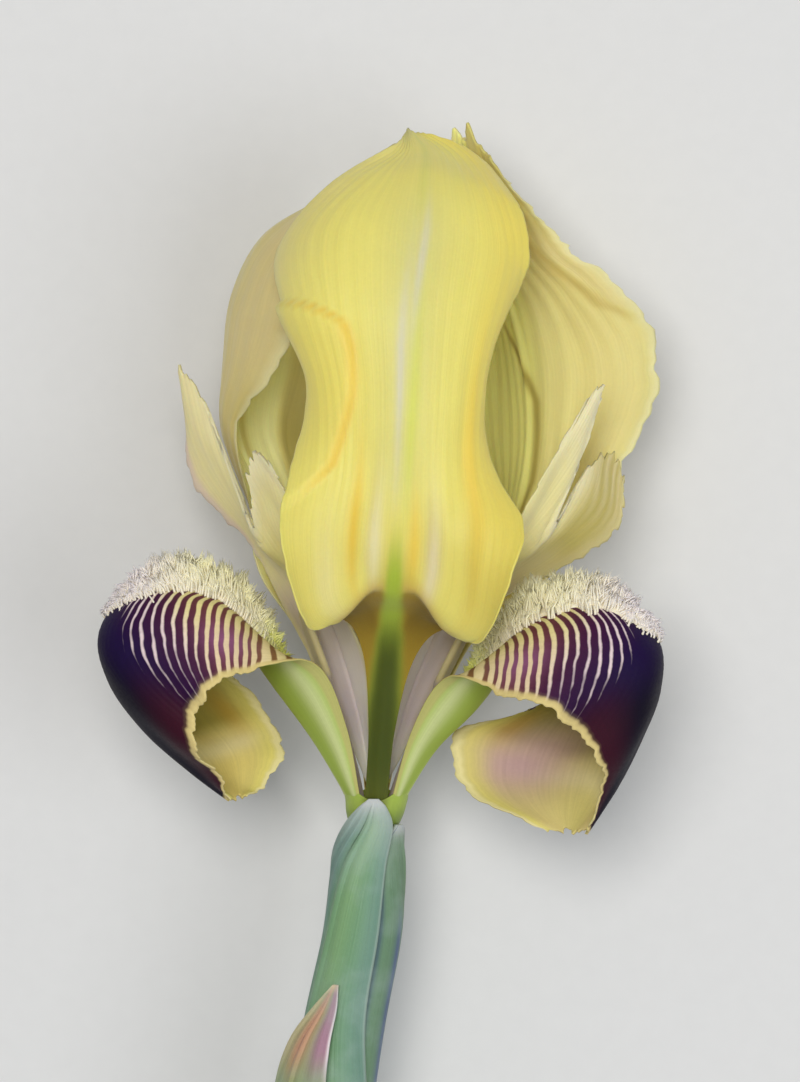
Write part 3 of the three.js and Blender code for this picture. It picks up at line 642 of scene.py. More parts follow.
def fall_material(name):
    """A fall's velvety skin: a pale ground with dark veins that spread and run together."""
    s = Shader(name)
    phase = s.sway(s.grain(230), 0.8, s.attribute("phase"))
    wave = s.math("SINE", s.scaled(phase, TAU))
    wave = s.sway(s.grain(380, 3), 0.9, wave)
    edge = s.attribute("cover")
    stripe = s.step(s.math("SUBTRACT", edge, 0.4), s.math("ADD", edge, 0.4), wave)
    cells = s.grain(2600)
    shade = s.sway(cells, 0.1, s.sway(s.strands(46, 4), 0.3))
    colour = s.mix(stripe, s.attribute("tint", "Color"), s.attribute("vein", "Color"))
    s.bump(s.scaled(cells, 0.3, s.scaled(stripe, 0.5)), 0.4, 0.12)
    rough = s.scaled(cells, 0.25, 0.5)
    return s.finish(s.shaded(colour, shade), rough, 0.05, 0, specular=0.14)


def hair_material(name):
    """Beard hairs: waxy, from their painted tint."""
    s = Shader(name)
    cells = s.grain(1800)
    colour = s.shaded(s.attribute("tint", "Color"), s.sway(cells, 0.2))
    return s.finish(colour, s.scaled(cells, 0.2, 0.4), 0.2, 0.2)


def green_material(name, strands, bloom):
    """Leafy skin: parallel veins under a waxy bloom that comes and goes."""
    s = Shader(name)
    vein = s.strands(strands, 2.5, 3)
    patches = s.grain(160, 3)
    cells = s.grain(3000)
    colour = s.shaded(s.attribute("tint", "Color"), s.sway(cells, 0.12, s.sway(vein, 0.3)))
    amount = s.scaled(s.step(0.4, 0.75, patches), 0.3)
    s.bump(s.scaled(cells, 0.2, vein), 0.45, 0.15)
    rough = s.scaled(patches, 0.25, 0.38)
    return s.finish(s.mix(amount, colour, (*srgb(bloom), 1)), rough, 0.08, 0.05)


# Standards

# The inner edge of the front standard's folded left margin, as u and v
FLAP = [(0.44, -1.1), (0.464, -0.87), (0.5, -0.63), (0.574, -0.44), (0.62, -0.4), (0.645, -0.43),
        (0.662, -0.6), (0.68, -0.85), (0.7, -1.1)]
# The upper edge of the hollow between its lower corners, as |v| and u
HOLLOW = [(0, 0.32), (0.1, 0.332), (0.18, 0.33), (0.3, 0.315), (0.45, 0.298), (0.6, 0.285), (0.8, 0.27),
          (1, 0.26)]
# Its pale middle, and its green rib's half width, as u and v
MIDDLE = [(0.3, 0), (0.5, 0.02), (0.62, 0.03), (0.75, 0.09), (1, 0.1)]
RIB = [(0, 3), (0.08, 1.6), (0.125, 0.86), (0.167, 0.5), (0.22, 0.26), (0.3, 0.1), (0.36, 0.065),
       (0.5, 0.035)]
# Its pleats: height, place and width across, and the u from and to which each fades in
PLEATS = [(-0.5, -0.28, 0.07, 0.56, 0.42), (0.45, -0.42, 0.09, 0.52, 0.42), (-0.35, 0.2, 0.06, 0.55, 0.4),
          (0.4, 0.36, 0.09, 0.6, 0.4), (-0.35, 0.56, 0.08, 0.7, 0.5)]


def paint_front(u, v, side):
    """Deep yellow outside, with a pale middle that is partly painted sheen, a folded band edged with
    painted shade, painted shade and highlight along the pleats, painted shade in the hollow between the
    lower corners, and a green rib that fades upwards.
    """
    blade_part = ramp(0.3, 0.4, u)
    middle = line(MIDDLE, u)
    upper = ramp(0.42, 0.5, u) * ramp(0.86, 0.74, u)
    fold = line(FLAP, u)
    folded = ramp(0.45, 0.5, u) * ramp(0.69, 0.66, u)
    above = u - line(HOLLOW, np.abs(v))
    hollow = ramp(0.011, -0.011, above)
    rib = np.exp(-(v / line(RIB, u)) ** 4)
    return {"tint": painted(
        u, 0xE6D974,
        (0xECD35C, 0.7 * ramp(0.35, 0.85, v) * blade_part),
        (0xE0D18C, 0.5 * ramp(-0.4, -0.95, v) * ramp(0.62, 0.75, u)),
        # The pale middle is partly the petal's own colour; its grey-lilac streaks and pale line are
        # painted sheen.
        (0xD2CE84, 0.75 * bell(v, middle, 0.22) * upper),
        (0xCCC062, 0.45 * ramp(0.5, 0.4, u) * blade_part),
        (0xCECABE, spot(u, v, 0.7, middle - 0.05, 0.035, 0.6, 0.09)),
        (0xCECABE, spot(u, v, 0.7, middle + 0.03, 0.03, 0.7, 0.08)),
        (0xD0D45C, spot(u, v, 0.8, middle + 0.06, 0.05, 0.56, 0.1)),
        (0xCECE6A, 0.5 * bell(v, middle - 0.01, 0.05) * ramp(0.74, 0.82, u)),
        # Orange streaks are painted shade in the grooves of the pleats; the pale streaks are painted
        # highlight on their ridges.
        (0xE4BE42, spot(u, v, 0.85, -0.37, 0.05, 0.43, 0.09)),
        (0xE6C046, spot(u, v, 0.8, 0.14, 0.05, 0.4, 0.07)),
        (0xEAC64E, spot(u, v, 0.7, 0.64, 0.07, 0.5, 0.13)),
        (0xE0D6AC, spot(u, v, 0.85, -0.18, 0.06, 0.4, 0.08)),
        (0xE4D6B2, spot(u, v, 0.85, 0.3, 0.06, 0.38, 0.08)),
        (0xE0D6A4, spot(u, v, 0.45, -0.6, 0.12, 0.36, 0.07)),
        # An orange line of painted shade along the fold of the left flank.
        (0xECC250, 0.75 * bell(v, fold, 0.045) * folded),
        (0xECD664, 0.5 * ramp(fold + 0.05, fold - 0.1, v) * bell(u, 0.58, 0.1)),
        # Painted shade in the hollow between the lower corners, deeper towards its sides, over the petal's
        # own browner base.
        (0x8E7412, 0.95 * hollow),
        (0x685206, 0.7 * hollow * ramp(0.14, 0.25, u) * ramp(0.12, 0.4, np.abs(v))),
        (0xA8A438, 0.6 * (1 - hollow) * bell(v, 0, 0.2) * ramp(0.42, 0.34, u)),
        # Painted shade on the lower corners, along the edge of the hollow.
        (0xC09C4E, 0.55 * ((1 - hollow) * ramp(0.035, 0, above))),
        (0xA2B63A, rib * ramp(0.46, 0.35, u)),
        (0x3C4800, 0.97 * rib * ramp(0.29, 0.15, u)),
        (0x5C6218, 0.5 * ramp(0.05, 0, u)),
        (0xCCC06E, 0.35 * (side > 0)))}


def relief_front(u, v):
    """Soft pleats that run up the blade, and the folded left flank."""
    upper = ramp(0.3, 0.4, u)
    fold = line(FLAP, u)
    pleats = 0.8 * ramp(fold + 0.03, fold - 0.03, v)
    for height, place, width, top, foot in PLEATS:
        pleats = pleats + height * bell(v, place, width) * ramp(top, foot, u)
    rib_width = line([(0, 0.6), (0.16, 0.5), (0.25, 0.2), (0.35, 0.09)], u)
    rib = -0.3 * bell(v, 0, rib_width) * ramp(0.55, 0.3, u)
    hollow = line(HOLLOW, np.abs(v))
    lip = -0.6 * ramp(-0.008, 0.01, u - hollow) * bell(u, hollow + 0.01, 0.05)
    lip = lip * ramp(0.05, 0.2, np.abs(v))
    ripple = 0.035 * np.sin(TAU * (9 * v + 0.5 * drift(u, v, 5))) * bell(np.abs(v), 0.5, 0.4)
    return lip - upper * pleats + rib + upper * ripple + 0.25 * drift(u, v, 3, 4) * upper


def teeth(random, counts, x):
    """An uneven line: waves of several counts, each with a random phase."""
    total = np.zeros_like(x)
    for waves in counts:
        total += np.sin(TAU * waves * x + random.uniform(0, TAU)) / math.sqrt(waves)
    return total


def fringe(size, seed, u, v):
    """A fine unevenness of the margins, and of the tip."""
    random = np.random.default_rng(seed)
    side = size * teeth(random, (6, 11, 17, 29, 47), u + 0.03 * v)
    return side * np.abs(v) ** 8 * ramp(0.3, 0.4, u), size * teeth(random, (3, 5, 9), v / 2) * u ** 30


def cleft(size, seed, u, v):
    """The same, with a notch in the tip."""
    side, end = fringe(size, seed, u, v)
    return side, end - 2.2 * bell(v, 0.1, 0.35) * ramp(0.93, 1, u)


# The right standard's groove beside its rib, and the inner edge of its pale folded margin, as u and v
GROOVE = [(0.3, 0), (0.4, -0.03), (0.46, -0.14), (0.51, -0.12), (0.568, -0.1), (0.6, -0.02), (0.64, 0.1),
          (0.7, 0.3)]
BAND = [(0.6, -1.3), (0.67, -1), (0.7, -0.85), (0.75, -0.75), (0.84, -0.72), (0.9, -0.8), (1, -1.2)]


def paint_back(pale, deep, inner, rib, seed, marks, u, v, side):
    """A standard at the back: cream with a greenish rib outside, deeper inside and lightened there as
    painted light, and marks of its own, painted light and shade among them.
    """
    return {"tint": painted(
        u, pale,
        (deep, 0.5 + 0.4 * drift(u, v, seed, 2)),
        # The inside is lightened beyond its own colour: painted light.
        (inner, 0.75 * (side > 0)),
        *marks(u, v, side),
        (rib, 0.75 * bell(v, 0, 0.03) * ramp(0.97, 0.6, u) * (side < 0)),
        (0x96963E, 0.8 * ramp(0.34, 0.2, u)),
        (0xEEE6BA, 0.45 * ramp(0.9, 1, np.abs(v))))}


def right_marks(u, v, side):
    """Painted light inside, a dark groove of painted shade, a pale margin with a darker edge, and a deeper
    tip.
    """
    inside = float(side > 0)
    span = ramp(0.36, 0.42, u) * ramp(0.72, 0.64, u)
    edge = line(BAND, u)
    return [
        # Painted light: the inside lightened beyond its own colour.
        (0xFFF896, 0.95 * inside * ramp(-0.3, 0, v) * ramp(0.34, 0.42, u)),
        (0xD0C27A, 0.6 * inside * ramp(-0.35, -0.6, v) * ramp(0.42, 0.5, u)),
        # Painted shade along the groove.
        (0x8C7E1E, 0.75 * inside * bell(v, line(GROOVE, u), 0.045) * span),
        (0xB8A454, 0.6 * inside * bell(v, edge + 0.05, 0.06) * ramp(0.66, 0.7, u)),
        (0xD8CA8C, 0.8 * inside * ramp(edge, edge - 0.06, v)),
        (0xB0A63E, 0.5 * ramp(0.8, 0.92, u) * ramp(0.3, -0.2, v)),
    ]


def left_marks(u, v, side):
    """Painted light inside, a dark strip of painted shade near its margin, and a flushed, pale back with
    painted shade low on one half.
    """
    if side > 0:
        return [
            # Painted light: the inside lightened beyond its own colour.
            (0xFFFAB2, 0.95 * ramp(-0.56, -0.44, v) * bell(u, 0.52, 0.18)),
            # Painted shade: a dark strip near the margin.
            (0x8A7E28, 0.75 * ramp(-0.46, -0.6, v) * bell(u, 0.49, 0.12)),
            (0xBEB054, spot(u, v, 0.6, -0.1, 0.05, 0.5, 0.1)),
        ]
    return [
        (0xDAC694, 0.6 * ramp(0.3, 0.7, v) * ramp(0.5, 0.65, u)),
        # Painted shade on the lower part of one half of the back.
        (0x706622, 0.8 * ramp(0.5, 0.36, u) * ramp(0, 0.4, v)),
    ]


def relief_back(seed, u, v):
    groove = 0.5 * bell(v, 0, 0.03)
    ripple = 0.05 * np.sin(TAU * (7 * v + 0.6 * drift(u, v, seed)))
    return ramp(0.25, 0.4, u) * (groove + ripple + 0.35 * drift(u, v, seed + 1, 4))


standards = {
    "standard_front": (
        partial(blade, STANDARD_FRONT, 0, (0.5, 3.5, 0.2), (1.6, 2.6)),
        paint_front, relief_front, partial(fringe, 0.35, 1), petal_material("yellow_petal", 60, 0.07)),
    "standard_right": (
        partial(blade, STANDARD_RIGHT, 120, (0.7, 4, 0.1), (0, 0)),
        partial(paint_back, 0xE4D89E, 0xDECE8A, 0xF0E498, 0x9E962C, 21, right_marks),
        partial(relief_back, 21), partial(cleft, 0.9, 2), petal_material("pale_petal_right", 52, 0.09)),
    "standard_left": (
        partial(eased, partial(blade, STANDARD_LEFT, -120, (0.6, 3.5, 0.6), (0, 0)),
                0.84, 0.88, 0.05, 0.2, 300),
        partial(paint_back, 0xD2C182, 0xD4C774, 0xF8EEA0, 0x968C32, 31, left_marks),
        partial(relief_back, 31), partial(fringe, 0.6, 3), petal_material("pale_petal_left", 52, 0.09)),
}
for name, (surface, paint, relief, edge, material) in standards.items():
    mesh = sheet_mesh(surface, STANDARD_GRID, PETAL_THICKNESS, paint, relief, edge)
    add_piece(name + "_petal", mesh, material, name)


# Falls

def vein_phase(u, far):
    """Which vein of a fall a place is on. They spread from the beard and bend towards the tip."""
    bend = (0.04 + 0.65 * np.clip(u - 0.25, 0, 0.4)) * (np.sqrt(np.maximum(0, far - 0.25)) - 0.4)
    place = u - bend
    return 38 * place + 20 * np.maximum(0, place - 0.3)


def paint_fall(blush, blush_spot, warm, u, v, side):
    """A fall: veined above, and yellow below with a purple blush, a pale haft streak that is partly
    painted highlight, and painted shade above a crease with a painted highlight along it.
    """
    far = np.abs(v)
    if side > 0:
        rim = ramp(0.945, 0.975, far) + ramp(0.985, 0.995, u)
        tint = painted(
            u, 0xE0D492,
            (0xC0C260, ramp(0.3, 0.16, u)),
            (0xDEC2AC, 0.7 * ramp(0.5, 0.8, far) * bell(u, 0.42, 0.12)),
            (0xE2CECE, ramp(0.44, 0.52, u)),
            (0xD6C282, rim))
        cover = 0.35 - 0.5 * ramp(0.32, 0.42, u) - 0.55 * ramp(0.42, 0.5, u)
        cover = cover - 0.5 * ramp(0.6, 0.95, far) * ramp(0.44, 0.54, u)
        cover = cover - 1.6 * ramp(0.52, 0.6, u - 0.12 * (far - 0.4))
        vein = painted(
            u, 0x826036,
            (0x68383A, ramp(0.28, 0.4, u)),
            (0x905884, spot(u, far, 0.7, 0.78, 0.12, 0.41, 0.07)),
            (0x3E1236, ramp(0.41, 0.5, u)),
            (0x1A053A, ramp(0.48, 0.58, u)),
            (0x0A0514, 0.9 * ramp(0.54, 0.7, u)),
            (0x3A0C1E, 0.85 * ramp(0.6, 0.92, far) * ramp(0.5, 0.66, u)),
            (0xD6C282, rim))
        return {"tint": tint, "phase": vein_phase(u, far), "cover": cover, "vein": vein}
    crease = 0.68 + 0.2 * (0.88 - far)
    above = ramp(crease + 0.02, crease - 0.03, u) * ramp(0.46, 0.56, u)
    tint = painted(
        u, 0xD2C676,
        (warm, 0.5 + 0.5 * drift(u, v, 8, 2)),
        (0xA2B84E, ramp(0.46, 0.3, u)),
        # A pale streak along the haft: partly its own paler colour, partly painted highlight.
        (0xD0D89A, 0.85 * bell(far, 0.55, 0.22) * ramp(0.4, 0.26, u)),
        (0xBEB674, 0.8 * ramp(0.74, 0.84, far) * ramp(0.34, 0.26, u)),
        # Painted shade above the crease, where the spoon turns away from the light, and a painted
        # highlight along the crease.
        (0x8C8032, 0.85 * above),
        (0xE0D2A0, 0.6 * bell(u, crease + 0.05, 0.03)),
        (blush, spot(u, v, *blush_spot)),
        (0xD8CC6E, 0.7 * ramp(0.78, 0.93, far) * ramp(0.4, 0.6, u)),
        (0xB0862C, spot(u, far, 0.5, 0.8, 0.08, 0.66, 0.06)),
        (0xE4D8A0, 0.8 * ramp(0.93, 0.97, far) * ramp(0.4, 0.6, u)))
    return {"tint": tint, "phase": u, "cover": 3.0, "vein": tint}


def relief_fall(seed, u, v):
    far = np.abs(v)
    veins = -0.03 * np.sin(TAU * vein_phase(u, far)) * ramp(0.15, 0.3, u) * ramp(0.75, 0.6, u)
    return veins + 0.3 * drift(u, v, seed, 4) * ramp(0.3, 0.5, u) * (0.3 + far)


veined = fall_material("veined_petal")
falls = {
    "fall_left": (partial(ruffled_net, FALL_LEFT, (0.5, 4, 0.3)),
                  partial(paint_fall, 0xCCAA8A, (0.9, 0.7, 0.3, 0.78, 0.12), 0xD4BC6C), None),
    "fall_right": (partial(ruffled_net, [row[::-1] for row in FALL_RIGHT], (0.5, 4, 0)),
                   partial(paint_fall, 0xBC96A0, (0.85, 0.68, 0.34, 0.765, 0.095), 0xD4BE86), None),
    "fall_back": (partial(blade, FALL_BACK, 180, (0, 0, 0), (0, 0)),
                  partial(paint_fall, 0xB48C96, (0.5, 0, 0.5, 0.75, 0.12), 0xD8C66E), -THROAT[2]),
}
for number, (name, (surface, paint, floor)) in enumerate(falls.items()):
    mesh = sheet_mesh(surface, FALL_GRID, PETAL_THICKNESS, paint, partial(relief_fall, 40 + number),
                      partial(fringe, 0.45, 50 + number), floor)
    add_piece(name + "_petal", mesh, veined, name)


# Beards

# Hairs, in millimetres: height of the roots, spread of the tips, least and greatest radius
HAIR_ROOT = 0.2
TIP_SPREAD = 0.22
HAIR_RADII = (0.13, 0.2)
# Spread of a clump's roots, as u and v
ROOT_SPREAD = (0.0075, 0.028)


def hair_mesh(roots, bends, tips, radius, low, high):
    """Tapered four-sided hairs, each from its root by way of a bend to its tip, with two tints each."""
    count = len(roots)
    places = np.array([0.0, 0.4, 0.75])
    widths = np.array([1.0, 0.85, 0.55])
    spine = [(1 - t) ** 2 * roots + 2 * t * (1 - t) * bends + t * t * tips for t in places]
    spine = np.stack(spine, axis=1)
    direction = unit(tips - roots)
    helper = np.where(np.abs(direction[:, :1]) < 0.8, [[1.0, 0, 0]], [[0, 1.0, 0]])
    side = unit(np.cross(direction, helper))
    other = np.cross(direction, side)
    turns = [turn * math.pi / 2 for turn in range(4)]
    rings = np.stack([math.cos(angle) * side + math.sin(angle) * other for angle in turns], axis=1)
    scale = (radius[:, None] * widths)[:, :, None, None]
    points = (spine[:, :, None, :] + scale * rings[:, None, :, :]).reshape(count, -1, 3)
    points = np.concatenate([points, tips[:, None]], axis=1)
    base = (np.arange(count) * points.shape[1])[:, None, None]
    quads = [[3, 2, 1, 0]]
    for a in range(8):
        b = a + 1 if a % 4 < 3 else a - 3
        quads.append([a, b, b + 4, a + 4])
    caps = [[8 + k, 8 + (k + 1) % 4, 12] for k in range(4)]
    quads = (base + np.array(quads)).reshape(-1, 4)
    caps = (base + np.array(caps)).reshape(-1, 3)
    shares = np.concatenate([np.repeat(places, 4), [1.0]])[None, :, None]
    tint = low[:, None] + (high - low)[:, None] * shares
    return points.reshape(-1, 3), quads, caps, tint.reshape(-1, 3)


def add_beard(name, surface, start, end, clumps, hairs, short, extra, middle, span, seed, fan=80):
    """A beard: a low pad under tufts of hairs that fan out from along the middle of a fall."""
    random = np.random.default_rng(seed)
    share = (np.arange(clumps) + random.uniform(0, 1, clumps)) / clumps
    u = start + (end - start) * share
    place = random.uniform(-1, 1, clumps)
    v = middle + span * place * np.sqrt(1 - share ** 8)
    normal = normals_at(surface, u, v)
    along = unit(surface(np.minimum(u + 0.01, 1), v) - surface(u - 0.01, v))
    side = np.cross(normal, along)
    angle = np.radians(-fan * place + random.normal(0, 7, clumps))
    lean = np.radians(12 + 45 * ramp(0.82, 1, share) + random.normal(0, 9, clumps))
    aim = np.cos(angle)[:, None] * normal + np.sin(angle)[:, None] * side
    aim = unit(aim + np.tan(lean)[:, None] * along)
    # Short clumps at both ends of the beard, longer ones between them
    length = short + extra * np.sin(np.pi * np.minimum(1, 0.12 + share))
    size = length * random.uniform(0.85, 1.12, clumps) * (1 - 0.35 * place ** 2)
    peaks = surface(u, v) + size[:, None] * aim
    # Each hair belongs to a clump
    of = np.repeat(np.arange(clumps), hairs)
    spread = random.normal(0, 1, (len(of), 2)) * ROOT_SPREAD
    root_u = np.clip(u[of] + spread[:, 0], 0, 1)
    root_v = np.clip(v[of] + spread[:, 1], -1, 1)
    upright = normals_at(surface, root_u, root_v)
    roots = surface(root_u, root_v) + HAIR_ROOT * upright
    tips = peaks[of] + random.normal(0, TIP_SPREAD, (len(of), 3))
    tips = tips - aim[of] * (random.exponential(0.12, len(of)) * size[of])[:, None]
    bends = roots + 0.45 * size[of][:, None] * upright
    radius = random.uniform(*HAIR_RADII, len(of))
    far = share[of]
    low = painted(far, 0xF8ECCE, (0xCECE68, ramp(0.24, 0.05, far)))
    high = painted(far, 0xFFFAC8, (0xFAF0F4, ramp(0.5, 0.85, far)),
                   (0xD6D860, ramp(0.2, 0.04, far)))
    points, quads, caps, tint = hair_mesh(roots, bends, tips, radius, low, high)
    nu, nv = PAD_GRID
    gu, gv = np.meshgrid(np.linspace(start, end - 0.02, nu + 1), np.linspace(-0.85, 0.85, nv + 1),
                         indexing="ij")
    t = (gu - start) / (end - start)
    swell = np.minimum(1, 6 * t) * np.minimum(1, 6 * (1 - t))
    across = middle + span * gv * (0.1 + 0.9 * np.sqrt(swell))
    ground = surface(gu, across)
    lift = normals_at(surface, gu, across)
    crown = (0.2 + 0.8 * swell * (1 - gv ** 2))[..., None]
    pad = np.stack([ground + crown * lift, ground + 0.1 * lift]).reshape(-1, 3)
    quads = np.concatenate([quads, len(points) + slab_faces(nu, nv)])
    shade = painted(gu, 0xF4E8C8, (0xC8CA64, ramp(0.3, 0.1, t)))
    tint = np.concatenate([tint, shade.reshape(-1, 3), shade.reshape(-1, 3)])
    mesh = mesh_of(np.concatenate([points, pad]), quads, caps, {"tint": tint})
    add_piece(name + "_hairs", mesh, beard_material, name)


beard_material = hair_material("beard_hair")
add_beard("beard_left", falls["fall_left"][0], 0.24, 0.575, 250, 19, 1.6, 3.1, 0.14, 0.24, 11)
add_beard("beard_right", falls["fall_right"][0], 0.24, 0.6, 250, 19, 1.6, 3.1, -0.14, 0.24, 23)
add_beard("beard_back", falls["fall_back"][0], 0.26, 0.55, 90, 12, 1.7, 0, 0, 0.16, 37, 60)


# Style

def paint_style(outer, edge, outer_side, u, v, side):
    """Cream crests, with a lilac-grey strap that has painted light on its near side, painted shade on its
    far side and a painted shadow of the standards, and one lobe of another colour.
    """
    foot = ramp(0.6, 0.45, u)
    outwards = v * outer_side
    lobe = ramp(0.3, 0.6, outwards) * ramp(0.58, 0.7, u)
    rays = 0.5 + 0.5 * np.sin(TAU * (9 * v + 0.7 * drift(u, v, 63)))
    return {"tint": painted(
        u, 0xE6DA9C,
        (0xD4C6CA, 0.95 * foot),
        # Painted light on the strap's near side, and painted shade on its far side.
        (0xE8DED4, 0.7 * foot * ramp(0.2, -0.5, outwards)),
        (0xA69874, 0.6 * foot * ramp(0.5, 0.85, outwards)),
        (0xE4E2D0, 0.7 * ramp(0.2, 0.06, u)),
        # A painted shadow of the standards across the upper strap.
        (0x9C9460, 0.4 * bell(u, 0.42, 0.1)),
        (0xCEC488, 0.6 * ramp(0.86, 0.98, np.abs(v)) * foot),
        (0xBEBA64, spot(u, v, 0.5 * (side < 0), 0, 0.3, 0.62, 0.08)),
        (0xE8DEBA, 0.7 * ramp(0.78, 0.98, u)),
        (outer, 0.8 * lobe),
        (0xD8CCA0, 0.5 * lobe * rays * ramp(0.7, 0.9, u)),
        (edge, 0.7 * lobe * ramp(0.8, 0.97, np.abs(v))))}


def relief_style(u, v):
    rib = 0.35 * bell(v, 0, 0.08) * ramp(0.75, 0.5, u)
    rays = 0.03 * np.sin(TAU * 14 * v) * ramp(0.5, 0.7, u)
    return rib + rays + 0.25 * drift(u, v, 61, 4) * ramp(0.5, 0.8, u)


def toothed(seed, u, v):
    """Crests with a small-toothed outer edge."""
    random = np.random.default_rng(seed)
    end = 0.8 * teeth(random, (6, 11, 19, 31), v) * u ** 16
    side = 0.7 * teeth(random, (13, 23, 37), u)
    return side * np.abs(v) ** 10 * ramp(0.55, 0.7, u), end


style_material = petal_material("style_skin", 40, 0.1)
styles = {
    "style_left": (STYLE_LEFT, partial(paint_style, 0xE4D89E, 0xD6BCB8, -1)),
    # The right arm's olive outer lobe is painted shade.
    "style_right": (STYLE_RIGHT, partial(paint_style, 0xA49842, 0xCCC08C, 1)),
    "style_back": (STYLE_BACK, partial(paint_style, 0xD6CC96, 0xD6CCA0, 1)),
}
for number, (name, (rows, paint)) in enumerate(styles.items()):
    mesh = sheet_mesh(partial(net, rows), STYLE_GRID, STYLE_THICKNESS, paint, relief_style,
                      partial(toothed, 70 + number))
    add_piece(name, mesh, style_material, "style")
mesh = tube_mesh([[0, height, 0, radius, radius] for height, radius in COLUMN], COLUMN_GRID, X_AXIS,
                 lambda t, angle: {"tint": painted(t, 0xD6CE96)})
add_piece("style_column", mesh, style_material, "style")


# Stamens

def paint_stamen(t, angle):
    flanks = np.abs(np.sin(angle))
    return {"tint": painted(
        t, 0x9E9286,
        (0xBAAE80, ramp(0.55, 0.6, t)),
        (0xB0A478, 0.7 * bell(flanks, 1, 0.25) * ramp(0.55, 0.62, t)))}


def anther(t, angle):
    """Two pollen sacs with a furrow between them."""
    return 1 - 0.35 * bell(np.abs(np.sin(angle)), 1, 0.2) * ramp(0.55, 0.62, t) * ramp(1, 0.95, t)


stamen_material = petal_material("stamen_skin", 8, 0.12)
for name, azimuth in (("stamen_left", -60), ("stamen_right", 60), ("stamen_back", 180)):
    s, c = sine_cosine(azimuth)
    stations = [[*leaned(np.array([distance * s, height, distance * c])), wide, deep]
                for distance, height, wide, deep in STAMEN]
    mesh = tube_mesh(stations, STAMEN_GRID, np.array([c, 0, -s]), paint_stamen, anther)
    add_piece(name + "_filament", mesh, stamen_material, name)


# Ovary, sheaths and stem

def paint_ovary(t, angle):
    return {"tint": painted(
        t, 0x809642,
        (0x96AA46, ramp(0.6, 0.95, t)),
        (0x5C762C, 0.6 * bell(np.sin(3 * angle), 1, 0.5)))}


def ribs(count, depth):
    return lambda t, angle: 1 + depth * np.cos(count * angle) * ramp(0, 0.05, t) * ramp(1, 0.9, t)


stations = [[*stem_centre(height), radius, radius] for height, radius in OVARY]
mesh = tube_mesh(stations, OVARY_GRID, X_AXIS, paint_ovary, ribs(6, 0.04))
add_piece("ovary_tube", mesh, green_material("ovary_skin", 10, 0xBEC896), "ovary")


def paint_spathe(inner, u, v, side):
    """Grey-green with a bluish keel and a papery, silvery tip, and on the inner valve a painted shadow
    along the outer valve's edge.
    """
    return {"tint": painted(
        u, 0x669072,
        (0x86AC76, 0.75 * bell(v, 0.3, 0.3)),
        (0x688880, 0.6 * ramp(0.6, 0.95, v)),
        (0x708E8E, 0.6 * ramp(0, -0.35, v)),
        (0xA8B6B0, 0.8 * ramp(0.64, 0.88, u + 0.1 * np.abs(v))),
        (0xC6C8CA, 0.85 * ramp(0.78, 0.95, u)),
        (0xBAC6BE, 0.4 * ramp(0.93, 1, np.abs(v))),
        (0x688862, 0.75 * inner * ramp(1, 0.8, u)),
        (0x344886, 0.8 * inner * bell(v, -0.36, 0.1) * ramp(0.58, 0.44, u)),
        # A painted shadow of the outer valve's edge on the inner valve.
        (0x3A4E68, 0.7 * inner * bell(v, -0.76, 0.05)),
        (0xCED6B8, 0.5 * (side > 0)))}


def paint_bract(u, v, side):
    """Green below, with a flushed, papery tip."""
    tip = ramp(0.55, 0.72, u)
    return {"tint": painted(
        u, 0x88A470,
        (0xCEC496, tip * ramp(-0.2, -0.8, v)),
        (0xCE967C, 0.9 * tip * bell(v, -0.05, 0.4)),
        (0xAA7A94, 0.9 * tip * ramp(0.2, 0.7, v)),
        (0xE8DEE0, 0.9 * tip * ramp(0.9, 0.99, v)),
        (0xDED0B4, 0.7 * ramp(0.93, 1, u)))}


def relief_sheath(u, v):
    """Veins along the sheath and a keel down its middle."""
    veins = 0.04 * np.sin(TAU * 16 * v) * ramp(0.95, 0.6, u)
    return veins - 0.25 * bell(v, 0.05, 0.06) * ramp(0.98, 0.6, u)


def paint_collar(u, v, side):
    """Green under the falls and olive under the standards."""
    return {"tint": painted(
        u, 0x708830,
        (0xA2B84E, ramp(0.2, 0.8, u)),
        (0x5C6218, 0.9 * bell(np.cos(3 * np.pi * v), 1, 0.6)))}


def collar_edge(u, v):
    """The wall reaches up a little along each fall."""
    return 0 * u, (-0.2 - 0.7 * np.cos(3 * np.pi * v)) * u ** 3


collar_material = green_material("collar_skin", 14, 0xAAB46E)
mesh = sheet_mesh(partial(sheath, COLLAR), COLLAR_GRID, COLLAR_THICKNESS, paint_collar, None, collar_edge)
add_piece("collar", mesh, collar_material, "ovary")

sheath_material = green_material("sheath_skin", 34, 0xAABCB8)
for name, slot, rows, paint in (("spathe_outer", "spathe", SPATHE_OUTER, partial(paint_spathe, False)),
                                ("spathe_inner", "spathe", SPATHE_INNER, partial(paint_spathe, True)),
                                ("bract", "bract", BRACT, paint_bract)):
    mesh = sheet_mesh(partial(sheath, rows), SHEATH_GRID, SHEATH_THICKNESS, paint, relief_sheath)
    add_piece(name + "_sheath", mesh, sheath_material, name)


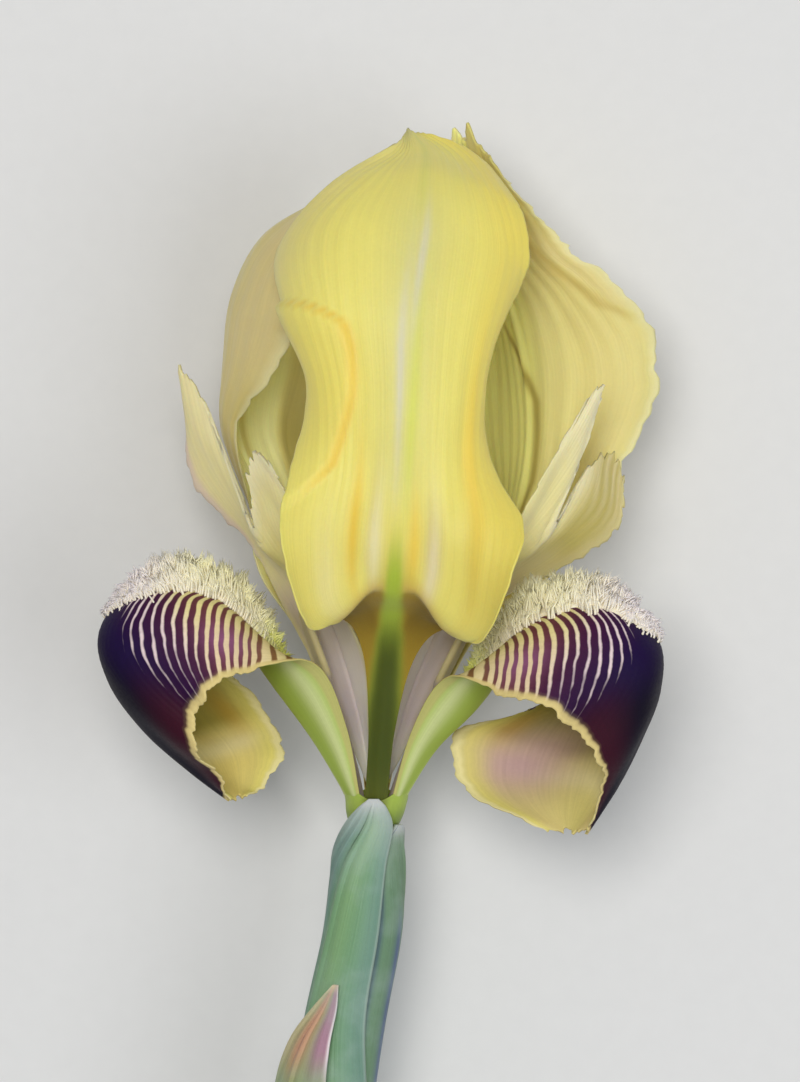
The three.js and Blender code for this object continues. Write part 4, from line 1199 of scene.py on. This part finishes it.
def paint_stem(t, angle):
    return {"along": t * 3, "tint": painted(
        t, 0x70925C,
        (0x86A46C, 0.6 * bell(np.sin(angle + 1), 0, 0.6)),
        (0xB0BE8C, 0.8 * ramp(0.985, 1, t)))}


stations = [[*stem_centre(height), STEM_RADIUS, STEM_RADIUS]
            for height in np.linspace(STEM_TOP, STEM_END, STEM_PIECES + 1)]
mesh = tube_mesh(stations, STEM_GRID, X_AXIS, paint_stem, ribs(12, 0.012), -THROAT[2])
add_piece("stem_stalk", mesh, green_material("stem_skin", 12, 0xAABCAA), "stem")


# Floor, lights and camera, in metres

def add_floor(half):
    mesh = bpy.data.meshes.new("floor")
    corners = [(-half, -half, 0), (half, -half, 0), (half, half, 0), (-half, half, 0)]
    mesh.from_pydata(corners, [], [(0, 1, 2, 3)])
    s = Shader("floor_paper")
    shade = s.sway(s.grain(400, 3), 0.03, 0.72)
    mesh.materials.append(s.finish(s.grey(shade), 0.8))
    placed("floor", mesh)


def add_light(name, place, size, watts, colour):
    data = bpy.data.lights.new(name, "AREA")
    data.energy = watts
    data.size = size
    data.color = colour
    light = placed(name, data)
    light.location = place
    light.rotation_euler = (LIT_PLACE - Vector(place)).to_track_quat("-Z", "Y").to_euler()


add_floor(3.0)
add_light("key", (-0.07, 0.16, 0.73), 0.26, 2.9, (1.0, 0.98, 0.94))
add_light("fill", (0.34, -0.06, 0.6), 0.4, 1.3, (0.94, 0.97, 1.0))
scene = bpy.context.scene
scene.world = bpy.data.worlds.new("studio")
scene.world.use_nodes = True
background = scene.world.node_tree.nodes["Background"]
background.inputs["Color"].default_value = (0.95, 0.97, 1.0, 1.0)
background.inputs["Strength"].default_value = 0.32
scene.view_settings.view_transform = "Standard"

camera_data = bpy.data.cameras.new("camera")
camera_data.sensor_width = CAMERA_SENSOR
camera_data.lens = CAMERA_SENSOR / 2 * CAMERA_DISTANCE / CAMERA_HALF_HEIGHT
camera_data.clip_start = 0.01
camera = placed("camera", camera_data)
camera.location = ((THROAT + np.array([*CAMERA_SHIFT, CAMERA_DISTANCE])) * MM).tolist()
scene.camera = camera

bpy.context.view_layer.update()
